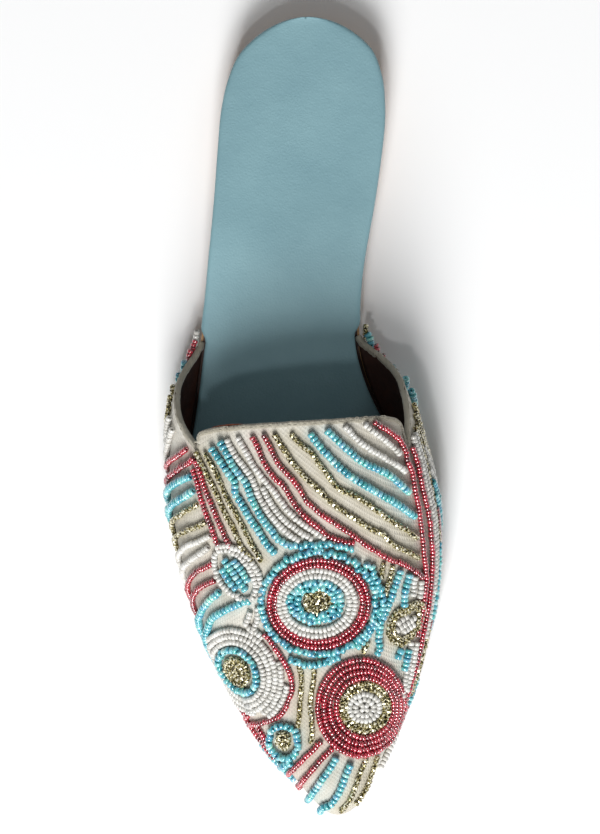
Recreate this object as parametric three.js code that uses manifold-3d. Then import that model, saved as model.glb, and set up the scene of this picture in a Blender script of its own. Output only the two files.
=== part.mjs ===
// A right-foot flat mule with a pointed toe, as its maker puts it together: a moulded outsole with a
// zigzag tread, a low heel block, a covered insole, and one lasted upper that is open at the heel.
// Strings of seed beads lie on the upper in rows, rings and leaves.
//
// Millimetres, +Z up, the toe towards -Y and the inner side of the foot towards +X. The origin is under
// the middle of the shoe, on the floor. Shapes are written in the last's own terms: "at" is a share of the
// length from the back of the heel to the toe tip, and "across" is a distance from the line that joins
// those two points, positive towards the inner side.

import * as THREE from "three";
import { mergeVertices } from "three/addons/utils/BufferGeometryUtils.js";
import Module from "manifold-3d";

const wasm = await Module();
wasm.setup();

// Driving sizes
const shoeLength = 262;
const ballWidth = 81;
const heelSeatWidth = 53.6;
const heelHeight = 9;
const toeSpring = 6;
const instepHeight = 50;
const outsoleThickness = 3.2;
const treadDepth = 0.9;
const insoleThickness = 3;
const upperWall = 1.8;

// Clearances and overhangs
const glueGap = 0.3;
const beadGap = 0.55;
const insoleFit = 0.5;
const insoleOverhang = 0.5;
const upperOverhang = 0.6;
const heelTaper = 0.8;

// Tread: waves across the ball, between a plain band and a rough patch at the toe
const treadPitch = 7.15;
const treadFirst = 150;
const treadWavelength = 19;
const treadCrest = 9.1;
const treadLean = -0.03;
const treadSwing = 2.6;
const treadMargin = 0.5;
const treadRoot = 0.6;
const ridgeWidth = 2;
const crestFlat = 2.4;

// Stations along the length, as shares of it
const heelBreast = { medial: 0.24, lateral: 0.226 };
const archFrom = 0.245;
const flatFrom = 0.535;
const springFrom = 0.8;
const archPadTo = 0.5305;
const bandFrom = 0.5335;
const treadFrom = 0.56;
const treadTo = 0.922;
const insoleNarrows = { from: 0.36, to: 0.395 };
const toeRoom = 3.5;
const toeRoomFrom = 0.93;
const wingEnd = 0.4;
const tongueTop = { lateral: 0.51, medial: 0.502 };
const notch = { lateral: 0.533, medial: 0.536 };

// The outline of the sole: centre in ball widths, half its width in heel seat or ball widths.
const soleOutline = [
  { at: 0.0, centre: -0.006, half: 0.0, of: heelSeatWidth },
  { at: 0.038, centre: -0.011, half: 0.38, of: heelSeatWidth },
  { at: 0.076, centre: -0.019, half: 0.466, of: heelSeatWidth },
  { at: 0.115, centre: -0.031, half: 0.496, of: heelSeatWidth },
  { at: 0.153, centre: -0.044, half: 0.5, of: heelSeatWidth },
  { at: 0.229, centre: -0.079, half: 0.489, of: heelSeatWidth },
  { at: 0.305, centre: -0.122, half: 0.474, of: heelSeatWidth },
  { at: 0.344, centre: -0.14, half: 0.472, of: heelSeatWidth },
  { at: 0.382, centre: -0.154, half: 0.318, of: ballWidth },
  { at: 0.42, centre: -0.162, half: 0.333, of: ballWidth },
  { at: 0.458, centre: -0.157, half: 0.358, of: ballWidth },
  { at: 0.496, centre: -0.143, half: 0.395, of: ballWidth },
  { at: 0.534, centre: -0.122, half: 0.441, of: ballWidth },
  { at: 0.573, centre: -0.098, half: 0.48, of: ballWidth },
  { at: 0.611, centre: -0.084, half: 0.497, of: ballWidth },
  { at: 0.649, centre: -0.077, half: 0.498, of: ballWidth },
  { at: 0.687, centre: -0.07, half: 0.485, of: ballWidth },
  { at: 0.725, centre: -0.061, half: 0.462, of: ballWidth },
  { at: 0.763, centre: -0.053, half: 0.431, of: ballWidth },
  { at: 0.802, centre: -0.045, half: 0.391, of: ballWidth },
  { at: 0.84, centre: -0.037, half: 0.342, of: ballWidth },
  { at: 0.878, centre: -0.03, half: 0.287, of: ballWidth },
  { at: 0.916, centre: -0.018, half: 0.221, of: ballWidth },
  { at: 0.954, centre: -0.002, half: 0.141, of: ballWidth },
  { at: 0.985, centre: 0.005, half: 0.073, of: ballWidth },
  { at: 1.0, centre: 0.006, half: 0.0, of: ballWidth },
];

// The upper over the sole: its ridge and its widest height in instep heights, and the ridge's lean from
// the sole's centre and the bulge past the sole's edge on each side in ball widths.
const upperSections = [
  { at: 0.4, ridge: 1.03, widest: 0.08, lean: 0.11, lateral: 0.008, medial: 0.018 },
  { at: 0.42, ridge: 1.03, widest: 0.16, lean: 0.11, lateral: 0.037, medial: 0.075 },
  { at: 0.44, ridge: 1.02, widest: 0.23, lean: 0.108, lateral: 0.062, medial: 0.112 },
  { at: 0.46, ridge: 1.02, widest: 0.29, lean: 0.105, lateral: 0.078, medial: 0.13 },
  { at: 0.496, ridge: 1.0, widest: 0.34, lean: 0.1, lateral: 0.079, medial: 0.116 },
  { at: 0.534, ridge: 0.972, widest: 0.3, lean: 0.09, lateral: 0.06, medial: 0.078 },
  { at: 0.573, ridge: 0.928, widest: 0.25, lean: 0.076, lateral: 0.049, medial: 0.043 },
  { at: 0.611, ridge: 0.872, widest: 0.22, lean: 0.07, lateral: 0.041, medial: 0.027 },
  { at: 0.649, ridge: 0.81, widest: 0.2, lean: 0.065, lateral: 0.032, medial: 0.022 },
  { at: 0.706, ridge: 0.712, widest: 0.19, lean: 0.056, lateral: 0.025, medial: 0.019 },
  { at: 0.763, ridge: 0.616, widest: 0.18, lean: 0.05, lateral: 0.023, medial: 0.017 },
  { at: 0.84, ridge: 0.49, widest: 0.15, lean: 0.038, lateral: 0.023, medial: 0.017 },
  { at: 0.916, ridge: 0.356, widest: 0.12, lean: 0.02, lateral: 0.022, medial: 0.016 },
  { at: 0.954, ridge: 0.268, widest: 0.09, lean: 0.007, lateral: 0.017, medial: 0.014 },
  { at: 0.985, ridge: 0.158, widest: 0.05, lean: 0.001, lateral: 0.013, medial: 0.013 },
  { at: 1.0, ridge: 0.0, widest: 0.0, lean: 0.0, lateral: 0.0, medial: 0.0 },
];
const sectionRoundness = { lateral: 2.05, medial: 2.4 };
const wallShare = 0.18;
const tongueSquareness = 6;
const cornerCrowding = 0.75;

// Facets
const plateSteps = 56;
const heelSteps = 70;
const upperRows = 28;
const sideColumns = 10;
const middleColumns = 14;
const strandStep = 4.6;
const finePoints = 120;

// How far up the section each side seam runs, from the sole (0) to the ridge (1).
const seamLines = [
  { at: 0.4, lateral: 0.5, medial: 0.5 },
  { at: 0.534, lateral: 0.514, medial: 0.49 },
  { at: 0.573, lateral: 0.54, medial: 0.473 },
  { at: 0.611, lateral: 0.586, medial: 0.452 },
  { at: 0.649, lateral: 0.633, medial: 0.42 },
  { at: 0.687, lateral: 0.655, medial: 0.372 },
  { at: 0.725, lateral: 0.672, medial: 0.332 },
  { at: 0.802, lateral: 0.675, medial: 0.27 },
  { at: 0.878, lateral: 0.68, medial: 0.25 },
  { at: 1.0, lateral: 0.7, medial: 0.25 },
];

// The collar of each wing: how far it has come forward where it has climbed that share of the side.
const collarClimb = [
  { climbed: 0.0, forward: 0.0 },
  { climbed: 0.2, forward: 0.15 },
  { climbed: 0.45, forward: 0.4 },
  { climbed: 0.7, forward: 0.7 },
  { climbed: 0.88, forward: 0.89 },
  { climbed: 1.0, forward: 1.0 },
];

// Bead work

const beads = {
  gold: { wide: 1.9, high: 1.7 },
  red: { wide: 1.95, high: 1.8 },
  white: { wide: 2.2, high: 1.9 },
  turquoise: { wide: 2.9, high: 2.5 },
};

// Each path is charted on the last: how far along the shoe's length, and how far across as a share of the
// ball's width. Past the widest line of the upper the second number runs on down the wall.
const strands = [
  {
    name: "rail_lateral_outer",
    bead: "red",
    path: [
      [0.5595, -0.5383], [0.5786, -0.5185], [0.6061, -0.4938], [0.6347, -0.4642],
      [0.6611, -0.4346],
    ],
  },
  {
    name: "rail_lateral_inner",
    bead: "red",
    path: [
      [0.5511, -0.5173], [0.5740, -0.4914], [0.6053, -0.4568], [0.6344, -0.4235],
      [0.6599, -0.3901],
    ],
  },
  {
    name: "rail_medial_outer",
    bead: "red",
    path: [
      [0.5424, 0.3580], [0.5809, 0.3852], [0.6202, 0.4074], [0.6695, 0.4185],
      [0.7176, 0.4062], [0.7595, 0.3840],
    ],
  },
  {
    name: "rail_medial_inner",
    bead: "red",
    path: [
      [0.5095, 0.2037], [0.5240, 0.2716], [0.5435, 0.3259], [0.5748, 0.3531],
      [0.6221, 0.3802], [0.6763, 0.3951], [0.7282, 0.3827], [0.7706, 0.3605],
      [0.8115, 0.3358], [0.8405, 0.3111], [0.8557, 0.2938],
    ],
  },
  {
    name: "row_gold_lateral_1",
    bead: "gold",
    path: [
      [0.5458, -0.4963], [0.5763, -0.4580], [0.6069, -0.4185], [0.6374, -0.3741],
      [0.6737, -0.3099],
    ],
  },
  {
    name: "row_gold_lateral_2",
    bead: "gold",
    path: [
      [0.5420, -0.4716], [0.5725, -0.4247], [0.6050, -0.3827], [0.6374, -0.3333],
      [0.6718, -0.2790],
    ],
  },
  {
    name: "row_turquoise_lateral_1",
    bead: "turquoise",
    path: [
      [0.5351, -0.4420], [0.5668, -0.3852], [0.5947, -0.3506], [0.6298, -0.2926],
      [0.6641, -0.2247],
    ],
  },
  {
    name: "row_turquoise_lateral_2",
    bead: "turquoise",
    path: [
      [0.5275, -0.4037], [0.5611, -0.3481], [0.5954, -0.3012], [0.6290, -0.2481],
      [0.6527, -0.1901],
    ],
  },
  {
    name: "row_white_lateral_1",
    bead: "white",
    path: [
      [0.5252, -0.3630], [0.5573, -0.3111], [0.5954, -0.2543], [0.6275, -0.1926],
      [0.6481, -0.1185],
    ],
  },
  {
    name: "row_white_lateral_2",
    bead: "white",
    path: [
      [0.5237, -0.3259], [0.5557, -0.2765], [0.5878, -0.2099], [0.6183, -0.1457],
      [0.6389, -0.0765],
    ],
  },
  {
    name: "row_red_middle_1",
    bead: "red",
    path: [
      [0.5218, -0.2852], [0.5534, -0.2432], [0.5859, -0.1679], [0.6237, -0.0815],
      [0.6481, -0.0049], [0.6561, 0.0543], [0.6592, 0.0914],
    ],
  },
  {
    name: "row_red_middle_2",
    bead: "red",
    path: [
      [0.5198, -0.2395], [0.5576, -0.1827], [0.6031, -0.0716], [0.6370, 0.0432],
      [0.6550, 0.1259], [0.6805, 0.2481], [0.6989, 0.3506],
    ],
  },
  {
    name: "row_gold_middle_1",
    bead: "gold",
    path: [
      [0.5198, -0.1975], [0.5485, -0.1432], [0.5756, -0.0790], [0.6073, 0.0198],
      [0.6298, 0.1198], [0.6508, 0.2321], [0.6779, 0.3506],
    ],
  },
  {
    name: "row_gold_middle_2",
    bead: "gold",
    path: [
      [0.5206, -0.1309], [0.5427, -0.0556], [0.5725, 0.0099], [0.5931, 0.0642],
      [0.6141, 0.1877], [0.6324, 0.2580], [0.6527, 0.3481],
    ],
  },
  {
    name: "row_turquoise_medial_1",
    bead: "turquoise",
    path: [
      [0.5202, -0.0531], [0.5431, 0.0049], [0.5752, 0.1012], [0.5992, 0.2198],
      [0.6244, 0.3383],
    ],
  },
  {
    name: "row_turquoise_medial_2",
    bead: "turquoise",
    path: [
      [0.5176, 0.0123], [0.5443, 0.1000], [0.5656, 0.1901], [0.5817, 0.2716],
      [0.5969, 0.3259],
    ],
  },
  {
    name: "row_white_medial_1",
    bead: "white",
    path: [
      [0.5145, 0.0852], [0.5370, 0.1593], [0.5550, 0.2444], [0.5702, 0.3185],
    ],
  },
  {
    name: "row_white_medial_2",
    bead: "white",
    path: [[0.5130, 0.1630], [0.5321, 0.2420], [0.5496, 0.2988]],
  },
  {
    name: "row_gold_toe_lateral",
    bead: "gold",
    path: [
      [0.8084, -0.1346], [0.8305, -0.1259], [0.8542, -0.1321], [0.8763, -0.1383],
    ],
  },
  {
    name: "row_gold_toe_medial",
    bead: "gold",
    path: [
      [0.8145, -0.0765], [0.8359, -0.0914], [0.8580, -0.1037], [0.8855, -0.1012],
      [0.9061, -0.1086],
    ],
  },
  {
    name: "row_red_toe_1",
    bead: "red",
    path: [[0.9183, -0.0938], [0.9321, -0.1395], [0.9450, -0.1926]],
  },
  {
    name: "row_red_toe_2",
    bead: "red",
    path: [[0.9290, -0.0506], [0.9458, -0.1025], [0.9634, -0.1531]],
  },
  {
    name: "row_turquoise_toe_1",
    bead: "turquoise",
    path: [[0.9397, -0.0160], [0.9565, -0.0593], [0.9710, -0.0951]],
  },
  {
    name: "row_turquoise_toe_2",
    bead: "turquoise",
    path: [[0.9443, 0.0519], [0.9618, 0.0210], [0.9782, -0.0074]],
  },
  {
    name: "row_gold_toe_1",
    bead: "gold",
    path: [[0.9412, 0.1111], [0.9592, 0.0864], [0.9771, 0.0568]],
  },
  {
    name: "row_gold_toe_2",
    bead: "gold",
    path: [[0.9344, 0.1679], [0.9473, 0.1481], [0.9595, 0.1235]],
  },
];

// Rosettes and leaves are rings of beads round a centre. Half the length is a share of the shoe's length
// and half the width, over the face, one of the ball's width. The turn of the long way is in degrees
// from straight ahead. From the middle to the rim, a height is a share of the tallest bead's.
const rosettes = [
  {
    name: "rosette_middle", bead: "red",
    at: 0.7324, across: -0.0457, long: 0.0687, wide: 0.2469, turn: 0, spokes: 26,
    rings: [
      { out: 0, high: 0.88 },
      { out: 0.24, high: 0.72 },
      { out: 0.4, high: 1 },
      { out: 0.56, high: 0.76 },
      { out: 0.77, high: 0.76 },
      { out: 0.86, high: 0.68 },
      { out: 0.96, high: 1 },
      { out: 1, high: 0.64 },
    ],
  },
  {
    name: "rosette_lateral", bead: "turquoise",
    at: 0.8153, across: -0.3778, long: 0.0351, wide: 0.0988, turn: 20,
    spokes: 20,
    rings: [
      { out: 0, high: 0.88 },
      { out: 0.5, high: 0.68 },
      { out: 0.82, high: 1 },
      { out: 1, high: 0.56 },
    ],
  },
  {
    name: "rosette_medial", bead: "red",
    at: 0.8660, across: 0.1259, long: 0.0630, wide: 0.2074, turn: 0,
    spokes: 26,
    rings: [
      { out: 0, high: 0.92 },
      { out: 0.34, high: 0.76 },
      { out: 0.53, high: 0.68 },
      { out: 0.7, high: 0.72 },
      { out: 0.93, high: 0.72 },
      { out: 1, high: 0.48 },
    ],
  },
  {
    name: "rosette_toe", bead: "turquoise",
    at: 0.9069, across: -0.2025, long: 0.0267, wide: 0.0864, turn: 0,
    spokes: 18,
    rings: [
      { out: 0, high: 0.84 },
      { out: 0.5, high: 0.68 },
      { out: 0.78, high: 1 },
      { out: 1, high: 0.56 },
    ],
  },
  {
    name: "leaf_lateral", bead: "turquoise",
    at: 0.6924, across: -0.3790, long: 0.0244, wide: 0.0494, turn: 27,
    spokes: 14,
    rings: [
      { out: 0, high: 1 },
      { out: 0.7, high: 1 },
      { out: 1, high: 0.56 },
    ],
  },
  {
    name: "leaf_medial", bead: "gold",
    at: 0.7626, across: 0.3012, long: 0.0252, wide: 0.0667, turn: -38,
    spokes: 16,
    rings: [
      { out: 0, high: 0.76 },
      { out: 0.6, high: 0.64 },
      { out: 0.86, high: 0.76 },
      { out: 1, high: 0.44 },
    ],
  },
];

// Smooth curves through a table

// Round ends keep their shape when a curve is drawn over this stretched share of the length.
function stretched(at) {
  return Math.acos(1 - 2 * Math.min(Math.max(at, 0), 1)) / Math.PI;
}

function curveThrough(table, along, value, spread = (x) => x) {
  const x = table.map((row) => spread(row[along]));
  const y = table.map(value);
  const last = table.length - 1;
  const slope = y.map((_, k) => {
    const before = Math.max(k - 1, 0);
    const after = Math.min(k + 1, last);
    return (y[after] - y[before]) / (x[after] - x[before]);
  });
  return (position) => {
    const p = Math.min(Math.max(spread(position), x[0]), x[last]);
    let k = 0;
    while (k < last - 1 && p > x[k + 1]) k += 1;
    const step = x[k + 1] - x[k];
    const f = (p - x[k]) / step;
    const start = (1 + 2 * f) * (1 - f) ** 2 * y[k] + f * (1 - f) ** 2 * slope[k] * step;
    return start + f ** 2 * (3 - 2 * f) * y[k + 1] + f ** 2 * (f - 1) * slope[k + 1] * step;
  };
}

const outlineCurve = (value) => curveThrough(soleOutline, "at", value, stretched);
const sectionCurve = (value) => curveThrough(upperSections, "at", value, stretched);

const sign = { lateral: -1, medial: 1 };

function mix(from, to, share) {
  return from + (to - from) * share;
}

function ease(x) {
  const f = Math.min(Math.max(x, 0), 1);
  return f * f * (3 - 2 * f);
}

function place(at, across, height) {
  return new THREE.Vector3(across, -at * shoeLength, height);
}

// The sole's shape

const centreLine = outlineCurve((row) => row.centre * ballWidth);
const halfWidth = outlineCurve((row) => row.half * row.of);

function soleEdge(side, at) {
  return centreLine(at) + sign[side] * Math.max(halfWidth(at), 0);
}

// A point of the outline moved inwards, square to the edge.
function insetEdge(side, at, inset) {
  const probe = 0.002;
  const behind = Math.max(at - probe, 0);
  const ahead = Math.min(at + probe, 1);
  const run = (ahead - behind) * shoeLength;
  const drift = soleEdge(side, ahead) - soleEdge(side, behind);
  const edge = Math.hypot(run, drift);
  const roundEnd = at < probe || at > 1 - probe;
  const alongStep = roundEnd ? (at < 0.5 ? inset : -inset) : (sign[side] * drift * inset) / edge;
  const acrossStep = roundEnd ? 0 : (-sign[side] * run * inset) / edge;
  return { at: at + alongStep / shoeLength, across: soleEdge(side, at) + acrossStep };
}

// Height of the outsole's underside: flat under the ball, up over the heel block, up again at the toe.
function undersideHeight(at) {
  const arch = heelHeight * ease((flatFrom - at) / (flatFrom - archFrom));
  const spring = toeSpring * Math.max((at - springFrom) / (1 - springFrom), 0) ** 2;
  return arch + spring;
}

const ribbedHeight = (at) => undersideHeight(at) + treadDepth;
const outsoleTop = (at) => undersideHeight(at) + outsoleThickness;
const insoleBottom = (at) => outsoleTop(at) + glueGap;
const insoleTop = (at) => insoleBottom(at) + insoleThickness;
const upperFoot = (at) => outsoleTop(at) + glueGap;

// The insole shows a little past the outsole at the heel, and lies inside the upper in front of the wings.
function insoleInset(at) {
  const inside = ease((at - insoleNarrows.from) / (insoleNarrows.to - insoleNarrows.from));
  const tip = toeRoom * ease((at - toeRoomFrom) / (1 - toeRoomFrom));
  return mix(-insoleOverhang, upperWall - upperOverhang + insoleFit, inside) + tip;
}

// The upper's shape

const ridgeHeight = sectionCurve((row) => row.ridge * instepHeight);
const widestHeight = sectionCurve((row) => row.widest * instepHeight);
const ridgeLean = sectionCurve((row) => row.lean * ballWidth);
const bulge = {
  lateral: sectionCurve((row) => row.lateral * ballWidth),
  medial: sectionCurve((row) => row.medial * ballWidth),
};
const seamClimb = {
  lateral: curveThrough(seamLines, "at", (row) => row.lateral),
  medial: curveThrough(seamLines, "at", (row) => row.medial),
};
const collarForward = curveThrough(collarClimb, "climbed", (row) => row.forward);

// One side of a section: straight up from the sole to its widest, then round to the ridge.
function upperPoint(side, at, climb) {
  const edge = soleEdge(side, at) + sign[side] * Math.min(upperOverhang, bulge[side](at));
  const widest = soleEdge(side, at) + sign[side] * bulge[side](at);
  const ridgeAcross = centreLine(at) + ridgeLean(at);
  const reach = at + (upperOverhang / shoeLength) * ease((at - toeRoomFrom) / (1 - toeRoomFrom));
  if (climb < wallShare) {
    const rise = climb / wallShare;
    const across = widest - (widest - edge) * (1 - rise) ** 2;
    return place(reach, across, upperFoot(at) + widestHeight(at) * rise);
  }
  const turn = (((climb - wallShare) / (1 - wallShare)) * Math.PI) / 2;
  const power = 2 / sectionRoundness[side];
  const across = ridgeAcross + (widest - ridgeAcross) * Math.max(Math.cos(turn), 0) ** power;
  const over = (ridgeHeight(at) - widestHeight(at)) * Math.sin(turn) ** power;
  return place(reach, across, upperFoot(at) + widestHeight(at) + over);
}

// A point of the upper by its panel, its share of the way over that panel from the outer side of the shoe
// to the inner, and its share of the way from the collar (0) to the toe (1).
function upperGrid({ panel, share }, forward) {
  const reach = Math.sin((forward * Math.PI) / 2);
  if (panel === "middle") {
    const corner = 1 - (1 - Math.abs(2 * share - 1) ** tongueSquareness) ** (1 / tongueSquareness);
    const top = mix(tongueTop.lateral, tongueTop.medial, share);
    const collar = mix(top, mix(notch.lateral, notch.medial, share), corner);
    const at = mix(collar, 1, reach);
    const span = 2 - seamClimb.lateral(at) - seamClimb.medial(at);
    const climb = seamClimb.lateral(at) + span * share;
    return climb < 1 ? upperPoint("lateral", at, climb) : upperPoint("medial", at, 2 - climb);
  }
  const climbed = panel === "lateral" ? share : 1 - share;
  const at = mix(mix(wingEnd, notch[panel], collarForward(climbed)), 1, reach);
  return upperPoint(panel, at, climbed * seamClimb[panel](at));
}

// Closed solids

function solidOf(geometry) {
  const bare = geometry.clone();
  bare.deleteAttribute("normal");
  bare.deleteAttribute("uv");
  const merged = mergeVertices(bare, 1e-3);
  const corners = merged.index.array;
  const triVerts = [];
  for (let k = 0; k < corners.length; k += 3) {
    const [a, b, c] = [corners[k], corners[k + 1], corners[k + 2]];
    if (a !== b && b !== c && c !== a) triVerts.push(a, b, c);
  }
  const mesh = { numProp: 3, vertProperties: merged.attributes.position.array };
  return new wasm.Manifold(new wasm.Mesh({ ...mesh, triVerts: new Uint32Array(triVerts) }));
}

function fromTriangles(triangles) {
  const numbers = new Float32Array(triangles.flatMap((corner) => corner.flatMap((p) => p.toArray())));
  return solidOf(new THREE.BufferGeometry().setAttribute("position", new THREE.BufferAttribute(numbers, 3)));
}

function quad(a, b, c, d) {
  return [
    [a, b, c],
    [a, c, d],
  ];
}

// Joins closed rings of points into one solid, with flat ends.
function loft(rings) {
  const triangles = [];
  for (let k = 0; k + 1 < rings.length; k += 1) {
    rings[k].forEach((corner, n) => {
      const next = (n + 1) % rings[k].length;
      triangles.push(...quad(corner, rings[k + 1][n], rings[k + 1][next], rings[k][next]));
    });
  }
  for (let n = 1; n + 1 < rings[0].length; n += 1) {
    const end = rings[rings.length - 1];
    triangles.push([rings[0][0], rings[0][n], rings[0][n + 1]]);
    triangles.push([end[0], end[n + 1], end[n]]);
  }
  return fromTriangles(triangles);
}

// A layer of the sole between two heights, from one station to another on each side.
function plate({ from, to, low, high, lowInset = () => 0, highInset = () => 0, steps = plateSteps }) {
  const start = { lateral: stretched(from.lateral ?? from), medial: stretched(from.medial ?? from) };
  const end = { lateral: stretched(to.lateral ?? to), medial: stretched(to.medial ?? to) };
  const share = Math.abs(end.medial - start.medial);
  const count = Math.max(Math.round(steps * share), 2);
  const rings = Array.from({ length: count + 1 }, (_, k) => {
    const corner = (side, height, inset) => {
      const at = (1 - Math.cos(Math.PI * mix(start[side], end[side], k / count))) / 2;
      const point = insetEdge(side, at, inset(at));
      return place(point.at, point.across, height(point.at));
    };
    return [
      corner("lateral", low, lowInset),
      corner("lateral", high, highInset),
      corner("medial", high, highInset),
      corner("medial", low, lowInset),
    ];
  });
  return loft(rings);
}

function prism(outline, low, high) {
  const shape = new THREE.Shape(outline.map(({ at, across }) => new THREE.Vector2(across, -at * shoeLength)));
  const depth = high - low;
  return solidOf(new THREE.ExtrudeGeometry(shape, { depth, bevelEnabled: false }).translate(0, 0, low));
}

function joined(solids) {
  return solids.reduce((whole, solid) => whole.add(solid));
}

// The pieces

// One wave of the tread across the sole, as a ribbon that is wider than the sole.
function treadWave(middle) {
  const turns = [];
  const drift = treadLean * (middle - treadFirst);
  for (let crest = treadCrest + drift - 3 * treadWavelength; crest < ballWidth; crest += treadWavelength) {
    turns.push({ across: crest - crestFlat / 2, swing: treadSwing });
    turns.push({ across: crest + crestFlat / 2, swing: treadSwing });
    turns.push({ across: crest + (treadWavelength - crestFlat) / 2, swing: -treadSwing });
    turns.push({ across: crest + (treadWavelength + crestFlat) / 2, swing: -treadSwing });
  }
  const edge = (offset) =>
    turns.map((p) => ({ across: p.across, at: (middle + p.swing + offset) / shoeLength }));
  return prism([...edge(-ridgeWidth / 2), ...edge(ridgeWidth / 2).reverse()], -1, heelHeight);
}

function makeOutsole() {
  const body = plate({ from: 0, to: 1, low: ribbedHeight, high: outsoleTop });
  const pad = (from, to) => {
    const high = (at) => ribbedHeight(at) + treadRoot;
    const inset = () => treadMargin;
    return plate({ from, to, low: undersideHeight, high, lowInset: inset, highInset: inset });
  };
  const waves = [];
  for (let middle = treadFirst; middle + treadSwing < treadTo * shoeLength; middle += treadPitch) {
    waves.push(treadWave(middle));
  }
  const tread = joined(waves).intersect(pad(treadFrom, treadTo));
  return joined([body, pad(0, archPadTo), pad(bandFrom, treadFrom), pad(treadTo, 1), tread]);
}

function makeHeel() {
  return plate({
    from: 0,
    to: heelBreast,
    low: () => 0,
    high: () => heelHeight - glueGap,
    lowInset: () => heelTaper,
    steps: heelSteps,
  });
}

function makeInsole() {
  return plate({
    from: 0,
    to: 1,
    low: insoleBottom,
    high: insoleTop,
    lowInset: insoleInset,
    highInset: insoleInset,
  });
}

// The upper is a wall: its outer face, the same face moved in by the wall, and the rim between them.
function makeUpper() {
  const side = (panel) => Array.from({ length: sideColumns }, (_, j) => ({ panel, share: j / sideColumns }));
  const middle = Array.from({ length: middleColumns }, (_, j) => {
    const share = j / middleColumns;
    return { panel: "middle", share: mix(share, (1 - Math.cos(Math.PI * share)) / 2, cornerCrowding) };
  });
  const rounds = [...side("lateral"), ...middle, ...side("medial"), { panel: "medial", share: 1 }];
  const columns = rounds.length - 1;
  const outer = Array.from({ length: upperRows + 1 }, (_, i) =>
    rounds.map((round) => upperGrid(round, i / upperRows)),
  );
  const inner = outer.map((row, i) =>
    row.map((point, j) => {
      if (i === upperRows) return point.clone().add(new THREE.Vector3(0, upperWall, 0));
      const before = outer[Math.max(i - 1, 0)][j];
      const left = row[Math.max(j - 1, 0)];
      const down = outer[i + 1][j].clone().sub(before);
      const over = row[Math.min(j + 1, columns)].clone().sub(left);
      const inwards = over.cross(down);
      if (j === 0 || j === columns) inwards.setZ(0);
      return point.clone().addScaledVector(inwards.normalize(), upperWall);
    }),
  );
  const triangles = [];
  for (let i = 0; i < upperRows; i += 1) {
    for (let j = 0; j < columns; j += 1) {
      triangles.push(...quad(outer[i][j], outer[i + 1][j], outer[i + 1][j + 1], outer[i][j + 1]));
      triangles.push(...quad(inner[i][j], inner[i][j + 1], inner[i + 1][j + 1], inner[i + 1][j]));
    }
    triangles.push(...quad(outer[i + 1][0], outer[i][0], inner[i][0], inner[i + 1][0]));
    const end = columns;
    triangles.push(...quad(outer[i][end], outer[i + 1][end], inner[i + 1][end], inner[i][end]));
  }
  for (let j = 0; j < columns; j += 1) {
    triangles.push(...quad(outer[0][j], outer[0][j + 1], inner[0][j + 1], inner[0][j]));
  }
  return fromTriangles(triangles);
}

// A point of the upper by its girth: 0 on the ridge, -1 at the foot of the outer side, 1 of the inner.
function facePoint(at, girth) {
  const side = girth < 0 ? "lateral" : "medial";
  return upperPoint(side, at, 1 - Math.min(Math.abs(girth), 1));
}

// The direction square to the upper's face.
function faceNormal(at, girth) {
  const [alongStep, girthStep] = [0.5 / shoeLength, 0.01];
  const ahead = facePoint(at + alongStep, girth).sub(facePoint(at - alongStep, girth));
  const over = facePoint(at, girth + girthStep).sub(facePoint(at, girth - girthStep));
  return ahead.cross(over).normalize();
}

// The girth of a charted point, and its station with it.
function faceSpot(at, across) {
  const target = across * ballWidth;
  const ridge = centreLine(at) + ridgeLean(at);
  const side = target < ridge ? "lateral" : "medial";
  const widest = soleEdge(side, at) + sign[side] * bulge[side](at);
  const out = (target - ridge) / (widest - ridge);
  if (out < 1) {
    const turn = Math.acos(out ** (sectionRoundness[side] / 2));
    return { at, girth: sign[side] * (1 - wallShare) * (1 - (turn * 2) / Math.PI) };
  }
  const down = Math.abs(target - widest) / widestHeight(at);
  return { at, girth: sign[side] * (1 - wallShare + wallShare * Math.min(down, 1)) };
}

// The girth that lies a distance over the face from another, on one section.
function girthAfter(at, girth, distance) {
  const stride = Math.sign(distance) * 0.01;
  let left = Math.abs(distance);
  let here = girth;
  let last = facePoint(at, here);
  while (left > 0 && Math.abs(here + stride) < 1) {
    const next = facePoint(at, here + stride);
    const length = next.distanceTo(last);
    here += stride * Math.min(left / length, 1);
    left -= length;
    last = next;
  }
  return here;
}

// A string of beads as a low rounded strip on the upper, in steps of even length over its face.
function makeStrand({ bead, path }) {
  const { wide, high } = beads[bead];
  const points = path.map(([at, across]) => new THREE.Vector3(at * shoeLength, across * ballWidth, 0));
  const chart = new THREE.CatmullRomCurve3(points);
  const spots = chart.getSpacedPoints(finePoints).map(({ x, y }) => faceSpot(x / shoeLength, y / ballWidth));
  const trail = spots.map(({ at, girth }) => facePoint(at, girth));
  const run = [0];
  for (let n = 0; n < finePoints; n += 1) run.push(run[n] + trail[n].distanceTo(trail[n + 1]));
  const count = Math.max(Math.round(run[finePoints] / strandStep), 2);
  const rings = Array.from({ length: count + 1 }, (_, k) => {
    const n = run.findIndex((length) => length >= (run[finePoints] * k) / count - 1e-6);
    const normal = faceNormal(spots[n].at, spots[n].girth);
    const heading = trail[Math.min(n + 1, finePoints)].clone().sub(trail[Math.max(n - 1, 0)]);
    const sideways = heading.cross(normal).normalize();
    const corner = (off, lift) =>
      trail[n].clone().addScaledVector(sideways, off * wide).addScaledVector(normal, beadGap + lift * high);
    return [corner(0.5, 0), corner(0.45, 0.6), corner(0, 1), corner(-0.45, 0.6), corner(-0.5, 0)];
  });
  return loft(rings);
}

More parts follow.
